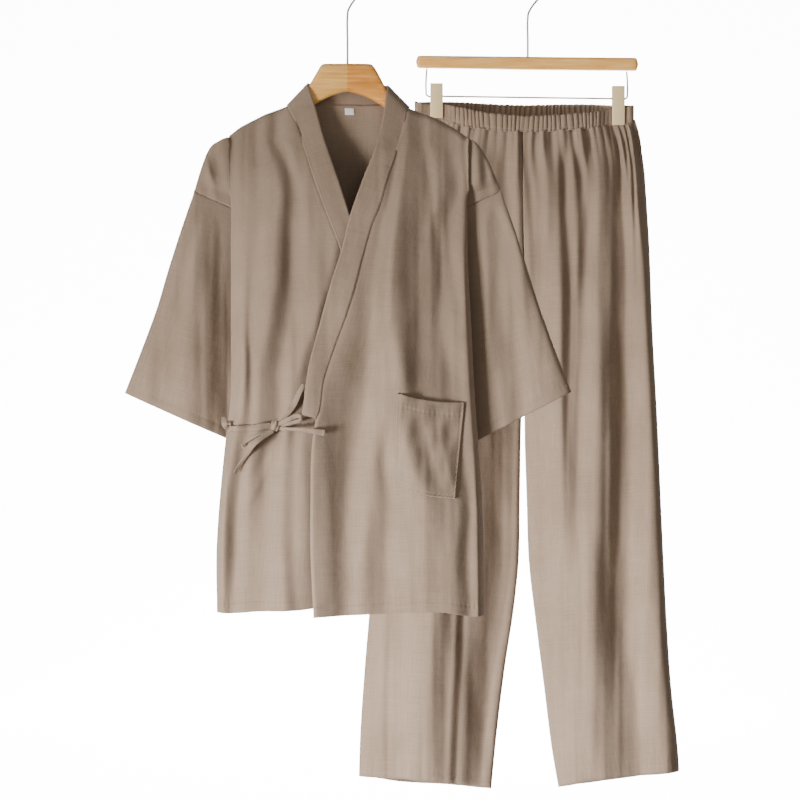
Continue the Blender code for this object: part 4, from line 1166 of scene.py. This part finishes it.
def wooden_bar(name, sizes, plane, sections, sides=36, groove=0.0):
    """Superellipse sections, |cos|^0.6 by |sin|^0.6, along x. Their sizes follow straight lines
    between the rows, averaged over 3 mm to round the corners."""
    low, high = sizes.rows[0, 0], sizes.rows[-1, 0]
    t = np.linspace(0, 1, sections)
    x = low + (high - low) * (t - np.sin(2 * np.pi * t) / (2 * np.pi) * 0.55)
    x, angle = np.meshgrid(x, np.linspace(0, 2 * np.pi, sides), indexing="ij")
    top, bottom, half = (
        sum(np.interp(x + step, sizes.rows[:, 0], sizes.rows[:, i]) for step in (-1.5, 0, 1.5)) / 3
        for i in (1, 2, 3)
    )
    from_end = np.minimum(x - low, high - x)
    tip = np.sqrt(1 - (1 - np.clip(from_end / 3.0, 0, 1)) ** 2)
    across = np.sign(np.cos(angle)) * np.abs(np.cos(angle)) ** 0.6
    up = np.sign(np.sin(angle)) * np.abs(np.sin(angle)) ** 0.6
    y = plane + half * across * tip
    y = y + groove * bell(x, 0.9) * (across < -0.2)
    drop = (top + bottom) / 2 - (bottom - top) / 2 * up * tip
    points = np.stack([x, y, drop], axis=-1)
    return sealed(mesh_of(name, points, grid_quads(*points.shape[:2])))


pieces["hanger_wood"] = wooden_bar("hanger_body", HANGER, 0.0, sections=141, groove=1.1)
pieces["trouser_bar"] = wooden_bar("trouser_bar_body", BAR, TROUSER_PLANE, sections=61)

# %% Wires
WIRE_RADIUS = 1.6
HOOK_RADIUS = 18.5
HOOK_STEM = 50.0
HOOKS = {"jacket_hook": (0.0, 0.0, 122.6, 0.0), "trouser_hook": (257.0, TROUSER_PLANE, 100.2, 10.0)}
ROD_PATH = [(112, 118), (111, 132), (111, 150), (111.6, 155.4), (114, 157.1), (130, 157.3)]
ROD_PATH += [(250, 159), (380, 160.7), (397, 160.9), (399.4, 159.4), (400, 155), (400, 136), (399, 122)]


def wire(name, path, plane, radius, per_mm=1.2, sides=14):
    """A round tube along a smooth curve in the plane y = plane, with rounded ends."""
    path = np.array(path, float)
    chord = np.concatenate([[0], np.cumsum(np.hypot(*np.diff(path, axis=0).T))])
    curve = Table("s x drop", *zip(chord, path[:, 0], path[:, 1]))
    s = np.linspace(0, chord[-1], int(chord[-1] * per_mm) + 2)
    s = np.concatenate([[0, 0], s, [s[-1], s[-1]]])
    x, drop = curve.at("x", s), curve.at("drop", s)
    ahead, behind = np.clip(s + 0.3, 0, chord[-1]), np.clip(s - 0.3, 0, chord[-1])
    tangent = [curve.at(axis, ahead) - curve.at(axis, behind) for axis in ("x", "drop")]
    tangent = np.stack(tangent, axis=-1)
    tangent = tangent / np.linalg.norm(tangent, axis=1, keepdims=True)
    round_end = np.ones(len(s))
    round_end[[0, -1]] = 0
    round_end[[1, -2]] = 0.7
    angle = np.linspace(0, 2 * np.pi, sides + 1)[None, :]
    out = radius * round_end[:, None] * np.cos(angle)
    points = np.stack(
        [
            x[:, None] - tangent[:, 1:] * out,
            plane + radius * round_end[:, None] * np.sin(angle),
            drop[:, None] + tangent[:, :1] * out,
        ],
        axis=-1,
    )
    return sealed(mesh_of(name, points, grid_quads(*points.shape[:2])))


def hook_path(x, foot, rise):
    """A straight stem, a kink to the right, and an arc over the rail."""
    centre = HOOK_RADIUS - WIRE_RADIUS - rise
    stem = HOOK_STEM - rise
    path = [(x, foot), (x, (foot + stem) / 2 + 6), (x, stem + 6), (x + 0.7, stem - 1), (x + 3.4, stem - 7)]
    for degrees in range(-48, 201, 8):
        angle = math.radians(degrees)
        path.append((x + HOOK_RADIUS * math.cos(angle), centre - HOOK_RADIUS * math.sin(angle)))
    return path


for name, (x, plane, foot, rise) in HOOKS.items():
    pieces[name] = wire(f"{name}_wire", hook_path(x, foot, rise), plane, WIRE_RADIUS)
pieces["trouser_rod"] = wire("trouser_rod_wire", ROD_PATH, TROUSER_PLANE, 1.3, per_mm=0.8)

# %% Clips
CLIP_X = (126.0, 387.0)
CLIP_TOPS = (139.0, 142.8)
CLIP_LOW = (189.0, 199.0)
CLIP_WIDTH = 18.0
CLIP_PLATE = 1.6


def clip(name, at, top, low):
    """Two sprung plates joined by a web under the rod: a profile in (y, drop), pushed out
    along x, with its edges rounded."""
    rod = top + 18
    web = rod + 1.95
    gap = 4.7
    outline = [
        (-8.0, top), (-8.0 + CLIP_PLATE, top), (-gap, rod), (-gap, web),
        (gap, web), (gap, rod), (8.0 - CLIP_PLATE, top), (8.0, top),
        (gap + CLIP_PLATE + 0.6, web), (gap + CLIP_PLATE, low),
        (gap, low), (gap, web + 2.5), (-gap, web + 2.5), (-gap, low),
        (-gap - CLIP_PLATE, low), (-gap - CLIP_PLATE - 0.6, web),
    ]  # fmt: skip
    count = len(outline)
    points = [
        ((at + side * CLIP_WIDTH / 2) * MM, (TROUSER_PLANE + y) * MM, -drop * MM)
        for side in (-1, 1)
        for y, drop in outline
    ]
    faces = [(i, (i + 1) % count, count + (i + 1) % count, count + i) for i in range(count)]
    faces += [tuple(reversed(range(count))), tuple(range(count, 2 * count))]
    mesh = bpy.data.meshes.new(name)
    mesh.from_pydata(points, [], faces)
    obj = sealed(bpy.data.objects.new(name, mesh))
    bpy.context.scene.collection.objects.link(obj)
    edge = obj.modifiers.new("Edges", "BEVEL")
    edge.width = 0.55 * MM
    edge.segments = 3
    mesh.shade_smooth()
    return obj


for side, at, top, low in zip(("left", "right"), CLIP_X, CLIP_TOPS, CLIP_LOW):
    pieces[f"clip_{side}"] = clip(f"clip_{side}_metal", at, top, low)

# %% [markdown]
# ## Materials
# The cloth is a dull brown weave. Its two threads are waves along the two weave coordinates,
# slubs are long thin noise along each thread, and a low noise in the object's own space
# stands for the small crumples between the modelled creases.


# %% Materials
def linear(code):
    """The linear colour of an sRGB code such as #9C8A79."""
    parts = [int(code[i : i + 2], 16) / 255 for i in (1, 3, 5)]
    return tuple(c / 12.92 if c <= 0.04045 else ((c + 0.055) / 1.055) ** 2.4 for c in parts) + (1.0,)


def add(tree, kind, links=(), **settings):
    """Adds a node. Settings named in_0, in_1 go on its sockets by number, in_Name by name;
    links are (socket, output) pairs."""
    node = tree.nodes.new(kind)
    for key, value in settings.items():
        if key.startswith("in_"):
            socket = key[3:].replace("_", " ")
            node.inputs[int(socket) if socket.isdigit() else socket].default_value = value
        else:
            setattr(node, key, value)
    for socket, output in links:
        tree.links.new(node.inputs[socket], output)
    return node


def new_material(name, **shader):
    """A material, its node tree and its shader, with the shader's named sockets set."""
    made = bpy.data.materials.new(name)
    made.use_nodes = True
    principled = made.node_tree.nodes["Principled BSDF"]
    for key, value in shader.items():
        principled.inputs[key.replace("_", " ")].default_value = value
    return made, made.node_tree, principled


def mapped(tree, source, scale):
    """A texture's place, stretched by its own scale along each axis."""
    return add(tree, "ShaderNodeMapping", [("Vector", source)], in_Scale=scale).outputs["Vector"]


def shade_between(tree, factor, dark, light):
    """A colour between two, by a factor."""
    mix = add(tree, "ShaderNodeMix", [(0, factor)], data_type="RGBA")
    mix.inputs[6].default_value = dark
    mix.inputs[7].default_value = light
    return mix.outputs[2]


def cloth_material(name, dark, light, thread="thread"):
    """Two crossing sets of threads with slubs, in two tones, with fine and coarse relief."""
    made, tree, principled = new_material(name, Roughness=0.86, Sheen_Weight=0.22, Sheen_Roughness=0.5)
    principled.inputs["Specular IOR Level"].default_value = 0.25
    weave = add(tree, "ShaderNodeAttribute", attribute_name=thread).outputs["Vector"]
    place = add(tree, "ShaderNodeTexCoord").outputs["Object"]
    slubs = [
        add(tree, "ShaderNodeTexNoise", [("Vector", mapped(tree, weave, scale))], in_Scale=1.0, in_Detail=3.0)
        for scale in ((900, 26, 1), (26, 900, 1))
    ]
    slub = add(
        tree, "ShaderNodeMath", [(0, slubs[0].outputs["Fac"]), (1, slubs[1].outputs["Fac"])],
        operation="ADD",
    )
    cloudy = add(tree, "ShaderNodeTexNoise", [("Vector", place)], in_Scale=9.0, in_Detail=4.0)
    total = add(
        tree, "ShaderNodeMath", [(0, slub.outputs[0]), (2, cloudy.outputs["Fac"])],
        operation="MULTIPLY_ADD", in_1=0.7,
    )
    factor = add(
        tree, "ShaderNodeMapRange", [("Value", total.outputs[0])],
        in_From_Min=0.85, in_From_Max=1.55,
    )
    tree.links.new(principled.inputs["Base Color"], shade_between(tree, factor.outputs[0], dark, light))
    threads = [
        add(
            tree, "ShaderNodeTexWave", [("Vector", weave)],
            bands_direction=axis, in_Scale=420.0, in_Distortion=0.6,
        )
        for axis in ("X", "Y")
    ]
    crossing = add(
        tree, "ShaderNodeMath", [(0, threads[0].outputs["Fac"]), (1, threads[1].outputs["Fac"])],
        operation="MAXIMUM",
    )
    relief = add(
        tree, "ShaderNodeMath", [(0, slub.outputs[0]), (2, crossing.outputs[0])],
        operation="MULTIPLY_ADD", in_1=0.8,
    )
    fine = add(tree, "ShaderNodeBump", [("Height", relief.outputs[0])], in_Strength=0.35, in_Distance=0.0001)
    crumples = add(
        tree, "ShaderNodeTexNoise", [("Vector", place)],
        in_Scale=24.0, in_Detail=5.0, in_Roughness=0.55,
    )
    coarse = add(
        tree, "ShaderNodeBump", [("Height", crumples.outputs["Fac"]), ("Normal", fine.outputs[0])],
        in_Strength=0.5, in_Distance=0.0035,
    )
    tree.links.new(principled.inputs["Normal"], coarse.outputs[0])
    return made


def wood_material(name, lit_left_codes, shaded_right_codes):
    """Pale orange wood: rings stretched along the bar, in two colours each side of x = 0. Where the two
    differ, as on the hanger, this is painted light: the left half is painted lighter, as lit from the left,
    and the right half is painted shade.
    """
    made, tree, principled = new_material(name, Roughness=0.42)
    place = add(tree, "ShaderNodeTexCoord").outputs["Object"]
    grain = add(
        tree, "ShaderNodeTexNoise", [("Vector", mapped(tree, place, (9, 60, 130)))],
        in_Scale=2.0, in_Detail=6.0, in_Distortion=0.6,
    )
    fibre = add(
        tree, "ShaderNodeTexNoise", [("Vector", mapped(tree, place, (30, 900, 900)))],
        in_Scale=1.0, in_Detail=3.0,
    )
    both = add(
        tree, "ShaderNodeMath", [(0, fibre.outputs["Fac"]), (2, grain.outputs["Fac"])],
        operation="MULTIPLY_ADD", in_1=0.5,
    )
    factor = add(tree, "ShaderNodeMapRange", [("Value", both.outputs[0])], in_From_Min=0.5, in_From_Max=1.0)
    left = shade_between(tree, factor.outputs[0], *map(linear, lit_left_codes))
    right = shade_between(tree, factor.outputs[0], *map(linear, shaded_right_codes))
    # Painted light and shade: the two colours split at x = 0, so one half can be painted lighter than the
    # other.
    along = add(tree, "ShaderNodeSeparateXYZ", [("Vector", place)]).outputs["X"]
    half = add(tree, "ShaderNodeMapRange", [("Value", along)], in_From_Min=-0.0006, in_From_Max=0.0006)
    mix = add(tree, "ShaderNodeMix", [(0, half.outputs[0]), (6, left), (7, right)], data_type="RGBA")
    tree.links.new(principled.inputs["Base Color"], mix.outputs[2])
    bump = add(tree, "ShaderNodeBump", [("Height", both.outputs[0])], in_Strength=0.2, in_Distance=0.0003)
    tree.links.new(principled.inputs["Normal"], bump.outputs[0])
    return made


def steel_material(name, code, roughness, metallic=1.0):
    """Drawn or brushed steel, with fine uneven dullness."""
    made, tree, principled = new_material(name, Metallic=metallic)
    principled.inputs["Base Color"].default_value = linear(code)
    place = add(tree, "ShaderNodeTexCoord").outputs["Object"]
    dull = add(
        tree, "ShaderNodeTexNoise", [("Vector", mapped(tree, place, (300, 300, 60)))],
        in_Scale=1.0, in_Detail=3.0,
    )
    rough = add(
        tree, "ShaderNodeMapRange", [("Value", dull.outputs["Fac"])],
        in_To_Min=roughness - 0.08, in_To_Max=roughness + 0.1,
    )
    tree.links.new(principled.inputs["Roughness"], rough.outputs[0])
    return made


brown = cloth_material("brown_weave", linear("#7F6A57"), linear("#96806C"))
thread_finish = cloth_material("thread_finish", linear("#7A6552"), linear("#8F7A66"))
white_tape = cloth_material("label_tape", linear("#DAD6CC"), linear("#EFECE4"))
# The hanger's lighter left half and darker right half are painted light from the left, laid over the wood's
# own grain.
hanger_wood = wood_material("hanger_wood_painted_light", ("#E69A3C", "#FFCC74"), ("#D27E28", "#FAAE4C"))
bar_wood = wood_material("bar_wood_finish", ("#F2A040", "#FFD078"), ("#F2A040", "#FFD078"))
wire_steel = steel_material("wire_steel", "#B9B2A6", 0.3)
clip_steel = steel_material("clip_steel", "#F0D6A2", 0.42, metallic=0.25)

# %% [markdown]
# ## What each piece is
# Every piece rides on the one body and stands for its CAD node, which is hidden. Wood, metal, the label and
# the rest of the cloth each get their material, and the stitches get theirs. The table of cuts gives each
# cloth's flat size, how it is held and what it rests on.

# %% Bodies and materials
WOODEN = ("hanger_wood", "trouser_bar")
METAL = ("jacket_hook", "trouser_hook", "trouser_rod", "clip_left", "clip_right")
CUTS = {
    "front_under": ((0.34, 0.75), "hung", ["hanger_body"]),
    "front_over": ((0.36, 0.76), "hung", ["hanger_body"]),
    "jacket_back": ((0.50, 0.75), "hung", ["hanger_body"]),
    "collar": ((0.040, 1.32), "folded", ["front_over_cloth"]),
    "pocket": ((0.11, 0.15), "laid", ["front_over_cloth"]),
    "neck_label": ((0.014, 0.012), "folded", ["jacket_back_cloth"]),
    "shoulder_left": ((0.11, 0.12), "folded", ["jacket_back_cloth"]),
    "shoulder_right": ((0.11, 0.12), "folded", ["jacket_back_cloth"]),
    "sleeve_left": ((0.38, 0.34), "folded", ["shoulder_left_cloth"]),
    "sleeve_right": ((0.38, 0.34), "folded", ["shoulder_right_cloth"]),
    "leg_left": ((0.52, 1.02), "gathered", ["waistband_cloth"]),
    "leg_right": ((0.52, 1.02), "gathered", ["waistband_cloth"]),
    "waistband": ((0.04, 0.95), "gathered", ["clip_left_metal", "clip_right_metal"]),
}
bpy.context.view_layer.update()
for name, obj in pieces.items():
    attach(obj, "root")
    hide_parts(name)
    if name in WOODEN:
        obj.data.materials.append(hanger_wood if name == "hanger_wood" else bar_wood)
    elif name in METAL:
        obj.data.materials.append(clip_steel if name.startswith("clip") else wire_steel)
    else:
        obj.data.materials.append(white_tape if name == "neck_label" else brown)
for obj in stitch_pieces.values():
    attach(obj, "root")
    obj.data.materials.append(thread_finish)
for name, (flat, held, rests) in CUTS.items():
    grid = cloth_grids[name][0]

# %% [markdown]
# ## Studio
# A pale curved backdrop, a large soft key light at the left in front, a cool narrow light
# from low on the left that brightens the lower half, a weak fill from above, and a weak warm
# light all round. The key and the low light are each given once to the jacket and once to
# the trousers, because in the photograph the jacket throws almost no shadow on them.

# %% Backdrop, lights and camera
turn = np.linspace(0, 1, 60)[:, None]
side_x = np.linspace(-1.9, 1.9, 5)[None, :]
wall_y = np.where(turn < 0.5, 2.0 + 11.0 * turn, 7.5 + 0.9 * np.sin(np.pi * (turn - 0.5)))
wall_z = np.where(turn < 0.5, -2.6, -2.6 + 0.9 * (1 - np.cos(np.pi * (turn - 0.5))))
wall_z = wall_z + 4.2 * fade((turn - 0.97) / 0.03)
backdrop_grid = np.stack(np.broadcast_arrays(side_x, wall_y, -wall_z), axis=-1)
backdrop = mesh_of("backdrop", backdrop_grid / MM, grid_quads(60, 5))
paper, paper_tree, paper_shader = new_material("backdrop_paper", Roughness=0.95)
paper_place = add(paper_tree, "ShaderNodeTexCoord").outputs["Object"]
paper_noise = add(paper_tree, "ShaderNodeTexNoise", [("Vector", paper_place)], in_Scale=1.5)
paper_tree.links.new(
    paper_shader.inputs["Base Color"],
    shade_between(paper_tree, paper_noise.outputs["Fac"], linear("#F6F6F5"), linear("#FAFAFA")),
)
paper_shader.inputs["Emission Color"].default_value = (1, 1, 1, 1)
paper_shader.inputs["Emission Strength"].default_value = 12.0
backdrop.data.materials.append(paper)
backdrop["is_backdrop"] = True


def area_light(name, place, aim, size, power, colour=(1, 1, 1), spread=math.pi):
    """A round soft lamp at a place, turned towards its aim."""
    lamp = bpy.data.lights.new(name, "AREA")
    lamp.shape = "DISK"
    lamp.size = size
    lamp.energy = power
    lamp.color = colour
    lamp.spread = spread
    obj = bpy.data.objects.new(name, lamp)
    obj.location = place
    way = mathutils.Vector(aim) - mathutils.Vector(place)
    obj.rotation_euler = way.to_track_quat("-Z", "Y").to_euler()
    bpy.context.scene.collection.objects.link(obj)
    return obj


MIDDLE = (0.07, 0.05, -0.6)
KEY_POWER = {"jacket_light": 66, "trouser_light": 86}
TROUSER_PIECES = ("leg_left", "leg_right", "waistband", "trouser_bar", "trouser_hook", "trouser_rod")
TROUSER_PIECES += ("clip_left", "clip_right")
groups = {
    "jacket_light": [stitch_pieces["jacket"], stitch_pieces["pocket"]],
    "trouser_light": [stitch_pieces["trousers"]],
}
for name, obj in pieces.items():
    groups["trouser_light" if name in TROUSER_PIECES else "jacket_light"].append(obj)
for name, members in groups.items():
    lit = bpy.data.collections.new(name)
    for obj in members:
        lit.objects.link(obj)
    key = area_light(f"key_{name}", (-3.2, -2.5, -0.3), MIDDLE, 2.0, KEY_POWER[name])
    low = area_light(
        f"low_{name}", (-2.3, -2.3, -1.5), (0.3, 0.1, -1.2), 0.9, 24,
        colour=(0.93, 0.96, 1.0), spread=0.8,
    )
    for lamp in (key, low):
        lamp.light_linking.receiver_collection = lit
        lamp.light_linking.blocker_collection = lit
area_light("fill", (0.9, -4.6, 1.2), (0.2, 0.1, -0.45), 2.6, 27)
world = bpy.data.worlds.new("studio")
world.use_nodes = True
world.node_tree.nodes["Background"].inputs["Color"].default_value = (1.0, 0.95, 0.88, 1)
world.node_tree.nodes["Background"].inputs["Strength"].default_value = 0.27
bpy.context.scene.world = world

lens = bpy.data.cameras.new("front")
lens.sensor_width = 36.0
lens.lens = 160.7  # shows 1.12 m across at the jacket, 5 m away
eye = bpy.data.objects.new("front", lens)
eye.location = (0.0735, -5.0, -0.5936)
eye.rotation_euler = (math.pi / 2, 0, 0)
bpy.context.scene.collection.objects.link(eye)
bpy.context.scene.camera = eye

# %% [markdown]
# ## Sizes
# The CAD box and the box of the finer pieces, and how much larger the second is.

# %% Print the sizes and finish
visual_low, visual_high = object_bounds()
growth = [round((visual_high[i] - visual_low[i] - cad_high[i] + cad_low[i]) / MM, 1) for i in range(3)]
print("the finer pieces are larger than the CAD box by", growth, "mm")
